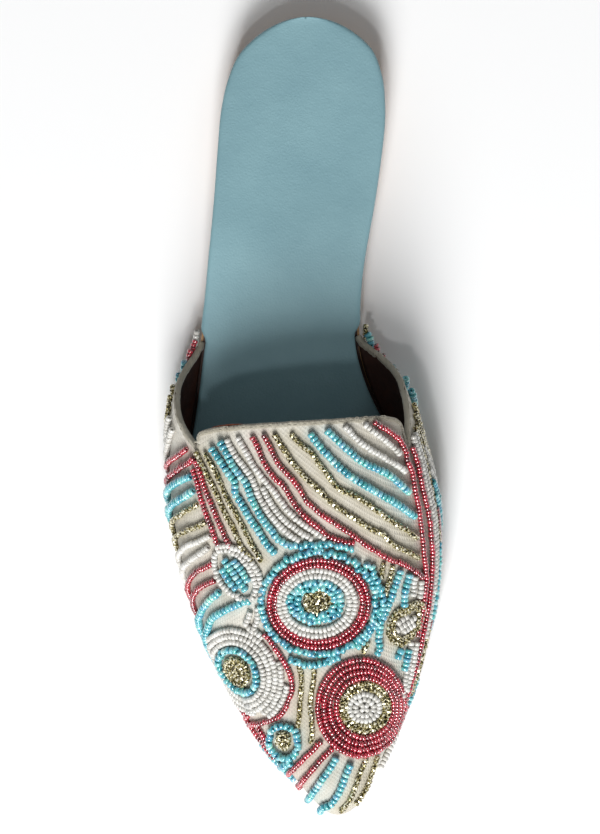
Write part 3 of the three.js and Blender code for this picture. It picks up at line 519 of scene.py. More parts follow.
# Rails and rows as they lie on the photographed shoe, by piece: kind, then each string's charted points
rows = {
    "rail_beads": ("red", [
        [(146.6, -43), (151.6, -41.6), (156.6, -40.6), (161.3, -39.2), (166.3, -37.5), (170.1, -36.4),
         (173.2, -35)],
        [(144, -42.1), (147.7, -40.7), (153.2, -39.2), (158.6, -37.2), (163.6, -35.4), (169, -33.3),
         (172.9, -31.6)],
        [(142.1, 29), (146.9, 30.4), (152.2, 31.3), (157.5, 32.3), (162.5, 33.3), (167.8, 34),
         (174.8, 34.4), (180.5, 34.4), (185.4, 34), (190.5, 33.3), (196.2, 32.3), (200.6, 31.3),
         (204.6, 30.3), (208.6, 29.4), (212.9, 28.3), (217, 27), (220.9, 25.7), (223.7, 24.6),
         (226.5, 23.3)],
        [(133.5, 16.5), (135.7, 19.9), (138.8, 24), (142.4, 26.4), (146.5, 27.2), (150.6, 28.7),
         (155.8, 29.3), (160.8, 30.2), (165.5, 30.7), (172.1, 31.3), (178.8, 31.7), (185.3, 32.1),
         (190, 31.5), (196.9, 30.3), (201, 29.3), (204.5, 28.5)],
    ]),
    "red_row_beads": ("red", [
        [(136.7, -23.1), (141, -21.1), (145, -19.7), (149.5, -17.1), (153.8, -13.2), (158.3, -10.7),
         (163.4, -6.9), (167.7, -2.1), (169.5, -0.3), (171.7, 4), (172.9, 8.9)],
        [(136.2, -19.4), (141.1, -17.1), (146.1, -14.8), (150.6, -11), (155, -8), (159.2, -5.5),
         (163.7, -0.4), (168.2, 5.9), (171.4, 10.2), (174.3, 13.8), (178.3, 20.1), (180.4, 25),
         (183.1, 28.9), (185, 31)],
        [(201.4, -22.1), (203.3, -20), (206.4, -18.3), (208.6, -16.8), (211.1, -15.4), (213.7, -14.2),
         (216.2, -13.4), (218.4, -13.2), (220.6, -13.3), (223, -14.3), (225.4, -15.3), (227.5, -16.5),
         (229, -18.2), (230, -20.8), (230.9, -23.3), (231.5, -25.8), (231.2, -27.3)],
        [(227, -29), (230.2, -27.6), (232.8, -26.4), (235.3, -25.1), (237.8, -23.7), (240.3, -22.2),
         (242.7, -20.8)],
        [(232.5, -25), (234.4, -24), (236.6, -23), (238.6, -21.9)],
        [(237.4, -4.3), (240.9, -7.8), (244.2, -11.3), (247.3, -14.6), (248.3, -15.6)],
        [(240, -0.6), (243.2, -4.1), (246.8, -7.4), (250.4, -10.6), (252.8, -12.6)],
    ]),
    "gold_row_beads": ("gold", [
        [(141, -41.8), (144.9, -40.1), (148, -38.7), (151.1, -37.3), (153.6, -36.1), (156.1, -35),
         (161.5, -33), (166.6, -30.4), (169.2, -29.6), (171.8, -28.4), (173.7, -27.3), (175.6, -25.8),
         (177.3, -24.5)],
        [(141.5, -39), (145, -37), (148.1, -35.3), (151.3, -34.2), (154.4, -33), (158.2, -31.4),
         (161, -29.9), (164.2, -28.2), (166.7, -27), (170.7, -25.3), (172.9, -24.1), (175.4, -22.7),
         (177.8, -21.7)],
        [(136.2, -16), (141.2, -13.1), (146, -10.2), (150.8, -6.4), (154.6, -2.5), (159.1, 1.6),
         (162.4, 5.8), (165, 9.7), (168.1, 13.9), (170.5, 18.6), (174, 21.8), (176.4, 26.4), (178.6, 30)],
        [(136.4, -10.6), (140.4, -7), (142.2, -4.5), (146.3, -1.9), (150.1, 0.8), (154.2, 3.7),
         (155.4, 5.2), (157, 9.1), (159.6, 13), (162.5, 16.7), (165.7, 20.9), (168.6, 25.1), (172, 29.7)],
        [(179.5, 18.5), (181.9, 17.5), (184.7, 17.7)],
        [(180.5, 21.1), (183, 20.7), (185.7, 19.7), (188.4, 18.8), (190.9, 17.9), (193, 17.4)],
        [(205.5, 12.3), (207, 11.4), (209, 10.4)],
        [(210.7, -11.3), (214.5, -10.3), (217.6, -10.1), (223.8, -10.7), (230, -11.4), (232.7, -12)],
        [(212.8, -6), (215.9, -5.8), (219, -6.4), (224.8, -7.4), (230.7, -7.2), (236.3, -7.4),
         (238.1, -8.1)],
        [(244, 10.4), (248.9, 8), (253.5, 6.3), (258, 4.1), (259.9, 2.6), (261.4, 1.1)],
        [(243.3, 14.1), (248.8, 12.2), (254, 10), (257.6, 7.6), (259.2, 6)],
    ]),
    "turquoise_row_beads": ("turquoise", [
        [(139.8, -36.7), (142, -35.4), (144.8, -33.6), (147, -32.2), (148.9, -31), (151.1, -29.5),
         (153.6, -29.4), (155.8, -29.1), (158.6, -27.3), (161.5, -25.9), (164.6, -24.2), (168.4, -21.8),
         (171.2, -20.3), (173.3, -18.6), (175.4, -17)],
        [(137.9, -33.8), (140.2, -32.5), (143.4, -30.8), (145.9, -29.9), (148.4, -28.2), (150.3, -26.7),
         (152.8, -25.3), (155.7, -24.5), (158.8, -23.3), (161.6, -21.9), (164.8, -20.1), (167.3, -18.1),
         (170.1, -16.3), (171.7, -14.2), (173, -12.7)],
        [(136.3, -4.3), (140.5, -1.6), (144.6, 1.9), (148.7, 5.8), (152.4, 10.5), (155.6, 15.4),
         (158.6, 20.2), (161.9, 25.3), (165.1, 29.2)],
        [(135.5, 1), (139.1, 4.5), (142.6, 8.1), (146.5, 12.6), (149.2, 17.8), (151, 21.1), (154.6, 25),
         (157.1, 27.6)],
        [(182.1, 23.7), (185.2, 22.6), (188.2, 21.3), (190.7, 20.6), (193.7, 19.2), (195.8, 18.2),
         (198.9, 16.7), (202, 16.1), (205, 15.8), (208.1, 15.9), (209.9, 14.7)],
        [(183.5, 26.7), (186.2, 26), (188.9, 25), (191.7, 24.7), (194.4, 24.4)],
        [(208, 23.2), (211.6, 21.5)],
        [(208.4, 25.7), (212.4, 24.7), (215.5, 23.8)],
        [(243, 0.5), (247.4, -2.4), (251.2, -5.1), (254.8, -7.7), (256.4, -8.9)],
        [(245.4, 5.1), (249.7, 3), (254.2, 1.3), (257.9, -1), (259, -2.6), (259.7, -4.5), (259.8, -5.6)],
    ]),
    "white_row_beads": ("white", [
        [(137.3, -31.4), (140.6, -29.9), (143.7, -28.2), (146.8, -25.9), (150.1, -23.8), (153.3, -22.6),
         (156.8, -21.4), (159.9, -19.6), (163.2, -17.6), (166.2, -15.2), (169.1, -12.1), (171.6, -9)],
        [(136.8, -27.9), (140.5, -25.9), (144.3, -24.1), (147.6, -22.2), (150.7, -20), (153.5, -17.7),
         (157, -15.2), (161, -12.6), (164.4, -9.4), (167, -6), (169.3, -2.9), (170.9, -0.4)],
        [(153.2, -20.4), (157.2, -18.6), (161.2, -16.2), (164.4, -13.6), (166.8, -10.7), (169.3, -7.5),
         (171, -4.6)],
        [(192.6, -23.8), (196, -23.6), (199, -24.6), (201, -26)],
        [(193.8, -25.8), (196.4, -26.9), (198.6, -27.8)],
        [(236, 19.6), (238.6, 18.7), (241.8, 17.2), (244.9, 16), (247.2, 15.2)],
        [(134.5, 6.9), (138.7, 10.7), (142.3, 15), (145.4, 19.8), (148.5, 24.6), (150.2, 26.6)],
        [(134.2, 13.4), (137.7, 17.6), (141.3, 21.9), (144.4, 24.9)],
        [(184.5, 28.3), (187.6, 27.8), (191, 27.5)],
        [(186, 30.5), (189, 30.2), (192, 29.8)],
        [(206, 26.5), (210.8, 25.7), (215.7, 24.7), (220.5, 23.6), (224.4, 22.8)],
        [(206.2, 28.3), (210.3, 27.5), (214.7, 26.5), (219, 25.3), (222.6, 24.3)],
    ]),
}
for piece, (kind, paths) in rows.items():
    for path in paths:
        addString(piece, kind, path)

# Middle rosette: gold core, turquoise, white and red rings, and a loose turquoise border
addRings("gold", (191.45, -3.4), [(0.658, 0.7), (2.35, 2.5), (4.042, 4.3)], steps=14)
addRings("turquoise", (191.4, -4.3), [(6.3, 8.4), (4.9, 6.1)], loose=0.7)
addRings("white", (191.9, -4), [(8.9, 10.7), (10.8, 12.5)])
addRings("red", (192.05, -3.45), [(12.5, 14.3), (14.4, 16.2)])
addRings("turquoise", (192.05, -3.4), [(16.8, 18.6)], steps=40, loose=0.8)
border = [
    [(173, -12.7), (172.7, -7), (172.6, -2), (173, 3), (174.5, 8.6)],
    [(179.3, 12.8), (184.4, 15.4), (188.3, 16.9), (192, 17.4), (195.1, 16.8), (197.6, 15.6), (199.7, 14.7),
     (202.8, 12.3), (204.9, 10.3), (206.3, 7.8)],
    [(209.6, 3), (211.4, -1.5), (212, -6), (211.6, -10.4), (209.6, -14)],
]
for path in border:
    addString("turquoise_ring_beads", "turquoise", path, loose=1.0)

# Medial rosette: white core, gold, then four rings of red that grow off its middle
addRings("white", (226.9, 10.2), [(0.9, 1.0), (2.7, 3.0), (4.4, 5.0)], steps=16)
addRings("gold", (226.9, 10.6), [(6.2, 6.3), (8.0, 7.9)])
for share in (0.12, 0.37, 0.62, 0.87):
    half = (mix(9.0, 17.0, share), mix(8.65, 15.25, share))
    addRings("red", (226.95, mix(10.6, 9.1, share)), [half], steps=36)

# Lateral rosette, turned with the edge, in a field of white rows: the inner ones whole, the outer ones cut
# off where the field ends
addRings("gold", (214, -31.3), [(0.9, 0.6), (2.7, 2.0), (4.6, 3.5)], 29, 16)
addRings("turquoise", (213.7, -31), [(7.6, 5.6)], 29, loose=0.6)
field = {"middle": (213.7, -31), "turn": 29, "half": (10.2, 8.0), "every": 1.95, "rows": 7, "whole": 3,
         "from": 199.2, "to": 229.4, "corner": (201, -38.5), "overEdge": 2.2, "fewest": 4}
fieldEdge = np.array([
    (199, -23.5), (203.3, -21.5), (206.4, -19.8), (211.1, -16.9), (216.2, -14.9), (220.6, -14.8),
    (225.4, -16.8), (229, -19.7), (230, -22.3), (230.2, -26.9),
])
for k in range(field["rows"]):
    half = np.add(field["half"], field["every"] * k)
    rim = ring(*field["middle"], *half, field["turn"], 90)
    if k < field["whole"]:
        addString("white_ring_beads", "white", rim[::3], closed=True)
        continue
    along, across = rim.T
    outer = soleEdge(-1, along / length) - bulgeLateral(along / length) + field["overEdge"]
    kept = (along > field["from"]) & (along < field["to"])
    kept &= (across > outer) & (across < np.interp(along, *fieldEdge.T))
    kept &= (along >= field["corner"][0]) | (across >= field["corner"][1])
    breaks = np.flatnonzero(np.diff(np.concatenate([[0], kept.astype(int), [0]])))
    for start, end in zip(breaks[::2], breaks[1::2]):
        if end - start >= field["fewest"]:
            addString("white_ring_beads", "white", rim[start:end])

# Toe rosette, with one short row in front of it
addRings("gold", (237.1, -16.9), [(0.9, 0.6), (2.6, 1.9)], steps=14)
addRings("turquoise", (237.6, -16.7), [(5.6, 4.9)], loose=0.7)
addString("turquoise_ring_beads", "turquoise", [(244.6, -19.4), (245.4, -17.2), (244.4, -14.4)])

# Lateral leaf: three turquoise columns, the middle one longest, in a double white outline
leafHeel, leafTip = np.array([176.4, -34]), np.array([187.2, -27])
ahead = (leafTip - leafHeel) / np.linalg.norm(leafTip - leafHeel)
aside = np.array([-ahead[1], ahead[0]])
for off, short in ((-2.25, 2.0), (0, 0), (2.25, 2.0)):
    belly = (leafHeel + leafTip) / 2 + aside * off * 0.15
    column = np.array([leafHeel + ahead * short, belly, leafTip - ahead * short]) + aside * off
    addString("turquoise_ring_beads", "turquoise", column)
addRings("white", (181.8, -30.5), [(9.3, 5.3)], 33, loose=0.2)
addString("white_ring_beads", "white", ring(182, -30.3, 11, 7, 33)[1:14], loose=0.3)

# Medial leaf: a double gold outline round three short white columns
leafMiddle = np.array([200.1, 24.7])
leaf = np.array([
    (196, 22.2), (198.4, 20.3), (201.5, 19.4), (204.3, 20), (206, 22.7), (205, 25.6), (202.8, 27.6),
    (200, 29.3), (197, 30.4), (194.4, 29.7), (193.9, 27.3), (195.4, 24.6),
])
for share in (1.08, 0.8):
    addString("gold_ring_beads", "gold", leafMiddle + (leaf - leafMiddle) * share, closed=True, loose=0.3)
ahead, aside = np.array([-0.552, 0.834]), np.array([0.834, 0.552])
for off, half in ((-1.75, 2.3), (0, 4.0), (1.75, 2.3)):
    addString("white_ring_beads", "white", leafMiddle + aside * off + ahead * np.array([[-half], [half]]))

# On the inner flank rows run beside the outer rail: kind, distance from it over the face, first and last
# station
flankRows = [("white", 2.2, 138.5, 205), ("white", 4.2, 137.5, 190), ("gold", 6.2, 135.5, 171),
             ("turquoise", 7.0, 173.5, 199), ("gold", 6.4, 202, 224)]


# Girth at a distance over the face from another girth, felt for in short steps
def overFace(at, girth, distance, parts=6):
    for _ in range(parts):
        moved = np.linalg.norm(facePoint(at, girth + feel["probe"]) - facePoint(at, girth), axis=-1)
        girth = girth + distance / parts * feel["probe"] / moved
    return girth


outerRail = chartSpots(rows["rail_beads"][1][2], charting["meanLift"])
for kind, below, first, last in flankRows:
    at = np.linspace(first, last, 14) / length
    girth = overFace(at, np.interp(at, outerRail[:, 0], outerRail[:, 1]), below)
    addString(kind + "_wall_beads", kind, (), list(zip(at * length, girth)))

# Bands down the outer wall: kind, charted points from above, then stations where the row is just below the
# wall's widest line, at its middle and at the sole
bands = [
    ("red", [(140.1, -44.6), (141.3, -46.5), (142.7, -48.7)], (146.5, 149.5, 152.5)),
    ("red", [(142.9, -42.5), (144.4, -43.8), (145.3, -45.4), (146.3, -47.3), (147.5, -48.9)],
     (151.5, 154.5, 157.5)),
    ("turquoise", [(149.1, -43.6), (149.6, -45.2), (150.3, -47.1), (151.2, -49)], (156, 159.4, 162.6)),
    ("turquoise", [(153.7, -43), (154.7, -44.5), (155.9, -46.4), (156.9, -48.3)], (161.6, 165, 168.2)),
    ("gold", [(158.2, -41.9), (159.3, -43.4), (160.4, -45.7), (161.4, -47.6)], (166.2, 169.6, 172.6)),
    ("gold", [(164.1, -39.5), (165.3, -41.5), (166.1, -43.7), (166.8, -45.6), (167.7, -47.6)],
     (171, 174.4, 177.4)),
    ("white", [(168.7, -37.9), (169.9, -40.7), (170.9, -43.2), (171.9, -45.8)], (177.2, 180.6, 183.6)),
    ("white", [(172.5, -38.7), (174.1, -41.2), (176.1, -44.1)], (182.4, 185.8, 188.8)),
    ("red", [(177.2, -37.5), (178.4, -38.8), (179.4, -40.8), (180.2, -42.7), (181.4, -44.2),
             (182.9, -45.4)], (188.6, 192.6, 196)),
    ("red", [(183.2, -37.1), (183.8, -38.2), (184.6, -40.1), (185.5, -41.9), (186.6, -43.2)],
     (193.4, 198, 202)),
    ("turquoise", [(187.1, -35.7), (188.5, -37.4), (190.1, -39.3), (191.8, -40.9), (193.6, -42)],
     (200, 206, 211)),
    ("turquoise", [(190.3, -25.7), (190.9, -27.6), (191.2, -29.1), (192.1, -31.3), (192.9, -33.3),
                   (194.1, -35.4), (195.1, -37.3), (196.8, -39.2), (199.3, -40.2)], (206.4, 212, 216.6)),
]
bandGirths = (-0.86, -0.92, -0.975)
for kind, path, stations in bands:
    addString(kind + "_wall_beads", kind, path, list(zip(stations, bandGirths)))


# Girth at which the collar's edge crosses a station of the wing
def collarGirth(side, along):
    notch = shoe["notch"]["lateral" if side < 0 else "medial"]
    forward = np.clip((along / length - shoe["wingEnd"]) / (notch - shoe["wingEnd"]), 0, 1)
    climbed = np.interp(forward, [row[1] for row in collarClimb], [row[0] for row in collarClimb])
    seam = (seamLateral if side < 0 else seamMedial)(along / length)
    return 1 - climbed * seam


# Bands that start at the collar or the rail and run down and forward to the sole: side, kind, top stations
lowerBands = [
    (-1, "white", [101.5]), (-1, "red", [104.7, 107.9]), (-1, "turquoise", [111.6, 115.6]),
    (-1, "gold", [119.4, 122.6, 125.8]), (-1, "white", [129.6, 133.4]), (1, "gold", [101.5]),
    (1, "turquoise", [104.5]), (1, "red", [108.5, 111.7]), (1, "turquoise", [115.6, 119.8, 124]),
    (1, "gold", [128.4, 131.8, 135.2, 138.6]), (1, "white", [142.4, 146, 149.6]),
    (1, "turquoise", [153.6, 158]), (1, "red", [162.6, 166]), (1, "gold", [170, 173.6, 177.2]),
    (1, "white", [181.4, 185]), (1, "turquoise", [189.4, 193.8]), (1, "red", [198.4, 202]),
    (1, "gold", [206, 209.6]), (1, "white", [213.6]), (1, "turquoise", [218, 222.4]),
    (1, "red", [227, 230.6]), (1, "gold", [234.4]),
]
# How a band starts below the collar, or below the rows that follow the rail, how far it drifts towards the
# toe on its way down, and where it ends; the last ones run down the front of the outer side
lower = {"belowCollar": 0.075, "railFrom": 134, "railStation": 142.5, "belowRows": 8.6, "belowRail": 2.4,
         "rowsTo": 224, "lowestStart": 0.93, "shortStart": 0.9, "drift": 60, "driftTo": 0.985,
         "mostDrift": 16, "toeDrift": 9, "foot": 0.975, "frontStart": 0.88}
lowerFront = [("red", (221, 225)), ("gold", (229, 233)), ("turquoise", (237, 241))]
downShares = (0, 0.33, 0.66, 1)
for side, kind, top in [(side, kind, top) for side, kind, tops in lowerBands for top in tops]:
    start = collarGirth(side, top) + lower["belowCollar"]
    if side > 0 and top > lower["railFrom"]:
        at = max(top, lower["railStation"]) / length
        below = lower["belowRows" if top < lower["rowsTo"] else "belowRail"]
        start = max(start, float(overFace(at, np.interp(at, outerRail[:, 0], outerRail[:, 1]), below)))
    if start > lower["lowestStart"]:
        start = lower["shortStart"]
    drift = min(lower["drift"] * (lower["driftTo"] - start), lower["mostDrift"])
    if top > lower["rowsTo"]:
        drift = lower["toeDrift"]
    wall = [(top + drift * f ** 0.9, side * mix(start, lower["foot"], f)) for f in downShares]
    addString(kind + "_wall_beads", kind, (), wall)
for kind, top in [(kind, top) for kind, tops in lowerFront for top in tops]:
    wall = [(top + lower["toeDrift"] * f, -mix(lower["frontStart"], lower["foot"], f)) for f in downShares]
    addString(kind + "_wall_beads", kind, (), wall)
print("bead strings charted:", sum(len(s) for s in threaded.values()))


# Quads of a grid of points, or of the wall of a tube
def gridFaces(rows, columns, closed=False, flip=False):
    i, j = np.meshgrid(np.arange(rows - 1), np.arange(columns if closed else columns - 1), indexing="ij")
    i, j = i.ravel(), j.ravel()
    nextJ = (j + 1) % columns
    quads = [i * columns + j, (i + 1) * columns + j, (i + 1) * columns + nextJ, i * columns + nextJ]
    return np.stack(quads[::-1] if flip else quads, axis=1)


# The wall and both ends of a tube
def tubeFaces(rows, columns, flip=False):
    first = np.arange(columns)[None]
    last = first[:, ::-1] + (rows - 1) * columns
    ends = [first[:, ::-1], last[:, ::-1]] if flip else [first, last]
    return [gridFaces(rows, columns, True, flip)] + ends


# Several lots of points and faces as one
def joinLayers(layers):
    points, faces, start = [], [], 0
    for layerPoints, layerFaces in layers:
        points.append(layerPoints)
        faces += [f + start for f in layerFaces]
        start += len(layerPoints)
    return np.vstack(points), faces


# A bead: a ring of glass round its hole, by share of its step and of its width
beadProfile = [(-0.36, 0.32), (-0.5, 0.56), (-0.43, 0.86), (-0.17, 1.0), (0.17, 1.0), (0.43, 0.86),
               (0.5, 0.56), (0.36, 0.32)]
beadSides = {"gold": 7}
roundSides = 10


def beadShape(around):
    turn = np.arange(around) / around * 2 * math.pi
    points = [(x, 0.5 * r * math.cos(t), 0.5 * r * math.sin(t)) for x, r in beadProfile for t in turn]
    closedProfile = gridFaces(len(beadProfile) + 1, around, closed=True, flip=True)
    return np.array(points), closedProfile % len(points)


beadCentres = {kind: [] for kind in beadKinds}
# The strips and discs of the CAD model that the beads take the place of, by how their names begin
replacedNames = {
    "rail_beads": "rail_", "red_row_beads": "row_red_", "gold_row_beads": "row_gold_",
    "turquoise_row_beads": "row_turquoise_", "white_row_beads": "row_white_",
    "red_ring_beads": ("rosette_middle", "rosette_medial"),
    "turquoise_ring_beads": ("rosette_lateral", "rosette_toe", "leaf_lateral"),
    "gold_ring_beads": "leaf_medial",
}
# What the hand and the dye lot vary: turn, shift, rise and size of a bead, how loose ones stack, and its
# tone; and from where along the bead its ends take painted shade
vary = {"turn": 0.07, "aside": 0.07, "rise": 0.05, "stack": 0.5, "size": 0.035, "fill": 0.97, "long": 0.05,
        "looseTurn": 5, "looseAside": 4, "tone": 0.55, "dye": 0.22, "endShadeFrom": 0.3}
for piece, strings in threaded.items():
    kind = strings[0][0]
    bead = beadKinds[kind]
    shape, faces = beadShape(beadSides.get(kind, roundSides))
    middle, normal, heading = [np.vstack([string[k] for string in strings]) for k in (1, 2, 3)]
    beadsOn = [len(string[1]) for string in strings]
    step, loose = [np.repeat([string[k] for string in strings], beadsOn)[:, None] for k in (4, 5)]
    count = len(middle)
    beadCentres[kind].append(middle)
    heading = unit(heading + rng.normal(0, vary["turn"], (count, 3)) * (1 + vary["looseTurn"] * loose))
    side = unit(np.cross(normal, heading))
    up = np.cross(heading, side)
    spin = rng.uniform(0, math.pi, count)[:, None]
    sideTurned = side * np.cos(spin) + up * np.sin(spin)
    upTurned = np.cross(heading, sideTurned)
    middle = middle + side * rng.normal(0, vary["aside"], (count, 1)) * (1 + vary["looseAside"] * loose)
    rise = rng.normal(0, vary["rise"], (count, 1)) + rng.uniform(0, vary["stack"], (count, 1)) * loose
    middle = middle + normal * rise
    wide = (bead["wide"] + bead["high"]) / 2 * rng.normal(1, vary["size"], (count, 1))
    along = step * vary["fill"] * rng.normal(1, vary["long"], (count, 1))
    points = (middle[:, None] + heading[:, None] * shape[None, :, :1] * along[:, None]
              + sideTurned[:, None] * shape[None, :, 1:2] * wide[:, None]
              + upTurned[:, None] * shape[None, :, 2:] * wide[:, None])
    allFaces = (faces[None] + (np.arange(count) * len(shape))[:, None, None]).reshape(-1, 4)
    # Painted shade: each bead's ends are darkened in its tone, standing in for the shade between beads on a
    # string
    ends = np.tile(bead["ends"] * (np.abs(shape[:, 0]) > vary["endShadeFrom"]), count)
    tones = np.repeat(rng.normal(vary["tone"], vary["dye"], count), len(shape)) - ends
    beadsPiece = meshPiece(piece, points, allFaces, bead["material"], kind != "gold", np.clip(tones, 0, 1))
    if piece in replacedNames:
        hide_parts(*[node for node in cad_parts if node.startswith(replacedNames[piece])])
    print(piece, count, "beads", len(allFaces) * 2, "triangles")


# The upper: one shell of cloth outside and lining inside, uneven in soft troughs and ridges
clothLook = {"rows": 170, "sideColumns": 56, "middleColumns": 120, "pucker": 0.22, "puckerEvery": 6.0,
             "fadeFrom": 0.04, "fadeTo": 0.02, "tuck": 0.28}
tiltOf = rng.uniform(0, 2 * math.pi, 8)


def softRelief(points, every):
    p = points / every
    wave = np.zeros(len(p))
    for k, turn in enumerate(tiltOf):
        way = np.array([math.cos(turn), math.sin(turn), math.sin(turn * 2.3)])
        wave += np.sin(p @ way * (1.6 + 0.45 * k) + k * 1.7) / (1 + 0.35 * k)
    return wave / 3


def collarSpot(panel, share):
    if panel == "middle":
        corner = 1 - (1 - abs(2 * share - 1) ** shoe["tongueSquareness"]) ** (1 / shoe["tongueSquareness"])
        top = mix(shoe["tongueTop"]["lateral"], shoe["tongueTop"]["medial"], share)
        return mix(top, mix(shoe["notch"]["lateral"], shoe["notch"]["medial"], share), corner)
    climbed = share if panel == "lateral" else 1 - share
    return mix(shoe["wingEnd"], shoe["notch"][panel], float(collarForward(climbed)))


def girthAt(panel, share, at):
    if panel == "middle":
        return seamLateral(at) + (2 - seamLateral(at) - seamMedial(at)) * share - 1
    if panel == "lateral":
        return share * seamLateral(at) - 1
    return 1 - (1 - share) * seamMedial(at)


def upperColumns(side, middle):
    columns = [("lateral", j / side) for j in range(side)]
    for j in range(middle):
        share = j / middle
        columns.append(("middle", mix(share, (1 - math.cos(math.pi * share)) / 2, 0.75)))
    return columns + [("medial", j / side) for j in range(side)] + [("medial", 1.0)]


columns = upperColumns(clothLook["sideColumns"], clothLook["middleColumns"])
forward = np.sin(np.linspace(0, 1, clothLook["rows"] + 1) * math.pi / 2)
at = np.array([[mix(collarSpot(*c), 1, f) for c in columns] for f in forward])
girth = np.stack([girthAt(panel, share, at[:, j]) for j, (panel, share) in enumerate(columns)], axis=1)
outer = facePoint(at, girth)
normals = faceNormal(at, girth)
relief = softRelief(outer.reshape(-1, 3), clothLook["puckerEvery"]).reshape(at.shape)
fade = (ease(forward / clothLook["fadeFrom"]) * ease((1 - forward) / clothLook["fadeTo"]))[:, None]
cloth = outer + normals * (relief * clothLook["pucker"] * fade)[..., None]
# The lining ends on the sole, and both feet of the wall are sunk a little in it
lining = outer - normals * shoe["upperWall"]
lining[..., 2] = np.maximum(lining[..., 2], outsoleTop(at) + shoe["glueGap"])
lining[-1] = outer[-1] + (0, shoe["upperWall"], 0)
for face in (cloth, lining):
    face[:, [0, -1], 2] -= clothLook["tuck"]
rowsIn, columnsIn = at.shape
count = rowsIn * columnsIn
nth = np.arange(count).reshape(rowsIn, columnsIn)
edges = [(nth[0, :-1], nth[0, 1:]), (nth[1:, 0], nth[:-1, 0]), (nth[:-1, -1], nth[1:, -1])]
rim = np.vstack([np.stack([a, b, b + count, a + count], axis=1) for a, b in edges])
shellFaces = [gridFaces(rowsIn, columnsIn), gridFaces(rowsIn, columnsIn, flip=True) + count, rim]

# Painted reflection and painted shade: the cloth beside the glass is painted towards each kind's colour,
# darker beside the coloured and gold beads and lighter beside the white ones. By kind, the colour and how far
# it reaches in millimetres
tint_painted_shade_and_reflection = np.tile(hexColour("#CFCBC0"), (count, 1))
throws = {"turquoise": ("#A3BDC0", 2.4), "red": ("#BE9A94", 2.0), "gold": ("#A8A080", 2.2),
          "white": ("#D8D5CC", 3.0)}
strongestPaintedBeadLight = 0.65
flat = cloth.reshape(-1, 3)
for kind, (colour, reach) in throws.items():
    centres = np.vstack(beadCentres[kind])
    tree = kdtree.KDTree(len(centres))
    for n, centre in enumerate(centres):
        tree.insert(centre, n)
    tree.balance()
    near = np.array([tree.find(p)[2] for p in flat])
    weight = (strongestPaintedBeadLight * np.exp(-(near / reach) ** 2))[:, None]
    tint_painted_shade_and_reflection = tint_painted_shade_and_reflection * (1 - weight) + np.array(hexColour(colour)) * weight

# Natural slub cotton, plain woven and pressed: matt, a thread every 0.5 mm, drawn at 0.8 so that it shows
clothMaterial, tree, shader = newMaterial(
    "natural_woven_cotton", Roughness=0.82, Sheen_Weight=0.25, Sheen_Roughness=0.45)
place = objectPlace(tree)
# The cloth's colour carries that painted reflection and shade from the beads, times the slub
tintWithPaintedBeadLight = addNode(tree, "ShaderNodeAttribute", {"attribute_name": "tint_painted_shade_and_reflection"}).outputs["Color"]
slub = ramp(tree, noise(tree, place, 9.0, 5.0), [(0.3, "#E8E4DE"), (0.7, "#FFFFFF")])
tree.links.new(multiply(tree, tintWithPaintedBeadLight, slub), shader.inputs["Base Color"])
threads = []
for direction, pitch in (("DIAGONAL", 0.95), ("X", 0.8)):
    settings = {"wave_type": "BANDS", "bands_direction": direction}
    wave = addNode(tree, "ShaderNodeTexWave", settings, Vector=place, Scale=1000 / pitch * math.pi / 10,
                   Distortion=1.6, Detail=2.0, Detail_Scale=0.05)
    threads.append(wave.outputs["Fac"])
weave = addNode(tree, "ShaderNodeMath", {"operation": "MAXIMUM"}, i0=threads[0], i1=threads[1]).outputs[0]
first = bumpOn(tree, shader, noise(tree, place, 2.2, 6.0), 0.0004, 0.7)
bumpOn(tree, shader, weave, 0.00018, 0.8, before=first)

# Brown faux leather lining, smooth-coated: dull with a slight gloss at the folds
liningMaterial, tree, shader, place = tonedMaterial(
    "brown_lining_leather", ("#2E160C", "#432214"), 3.0, Roughness=0.6)
bumpOn(tree, shader, noise(tree, place, 0.9, 8.0), 0.0002, 0.6)

# The lining's cut edge: bare board and glue under the coat, a matt rust brown
rustMaterial = tonedMaterial("rust_brown_cut_edge", ("#6E3820", "#96553A"), 1.2, Roughness=0.8)[0]

upperSlots = np.concatenate([np.full(len(f), slot) for f, slot in zip(shellFaces, (0, 1, 1))])
upperPiece = meshPiece("cloth_upper", np.vstack([flat, lining.reshape(-1, 3)]), shellFaces,
                       [clothMaterial, liningMaterial], slots=upperSlots)


def paint(piece, colours):
    layer = piece.data.attributes.new("tint_painted_shade_and_reflection", "FLOAT_COLOR", "POINT")
    layer.data.foreach_set("color", np.asarray(colours, np.float32).ravel())


paint(upperPiece, np.vstack([tint_painted_shade_and_reflection, tint_painted_shade_and_reflection]))
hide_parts("upper")
print("upper sewn")

# Binding: a strip of the same cloth folded over the collar and stitched down
binding = {"stations": 520, "evened": 6, "probe": 2, "wave": (1.6, 0.7), "edgeFray": 0.22, "foldFray": 0.12,
           "lift": 0.09, "stitchEvery": 2.9, "stitchLong": 1.5, "thread": 0.3, "firstStitch": 4,
           "uneven": 0.25, "stitchDown": 0.85, "stitchOut": 0.1}
rimColumns = upperColumns(90, 200)
rimAt = np.array([collarSpot(*c) for c in rimColumns])
rimGirth = np.array([float(girthAt(p, s, a)) for (p, s), a in zip(rimColumns, rimAt)])
rimPoints = facePoint(rimAt, rimGirth)
run = runOf(rimPoints)
even = np.linspace(0, run[-1], binding["stations"])
rimAt, rimGirth = np.interp(even, run, rimAt), np.interp(even, run, rimGirth)
for _ in range(binding["evened"]):
    for line in (rimAt, rimGirth):
        line[1:-1] = (line[:-2] + 2 * line[1:-1] + line[2:]) / 4
rimPoints = facePoint(rimAt, rimGirth)
rimNormals = faceNormal(rimAt, rimGirth)
rimAlong = unit(np.gradient(rimPoints, axis=0))
inward = unit(np.cross(rimNormals, rimAlong))
ahead = facePoint(rimAt + binding["probe"] / length, rimGirth) - rimPoints
inward *= np.sign(np.sum(inward * ahead, axis=1))[:, None]
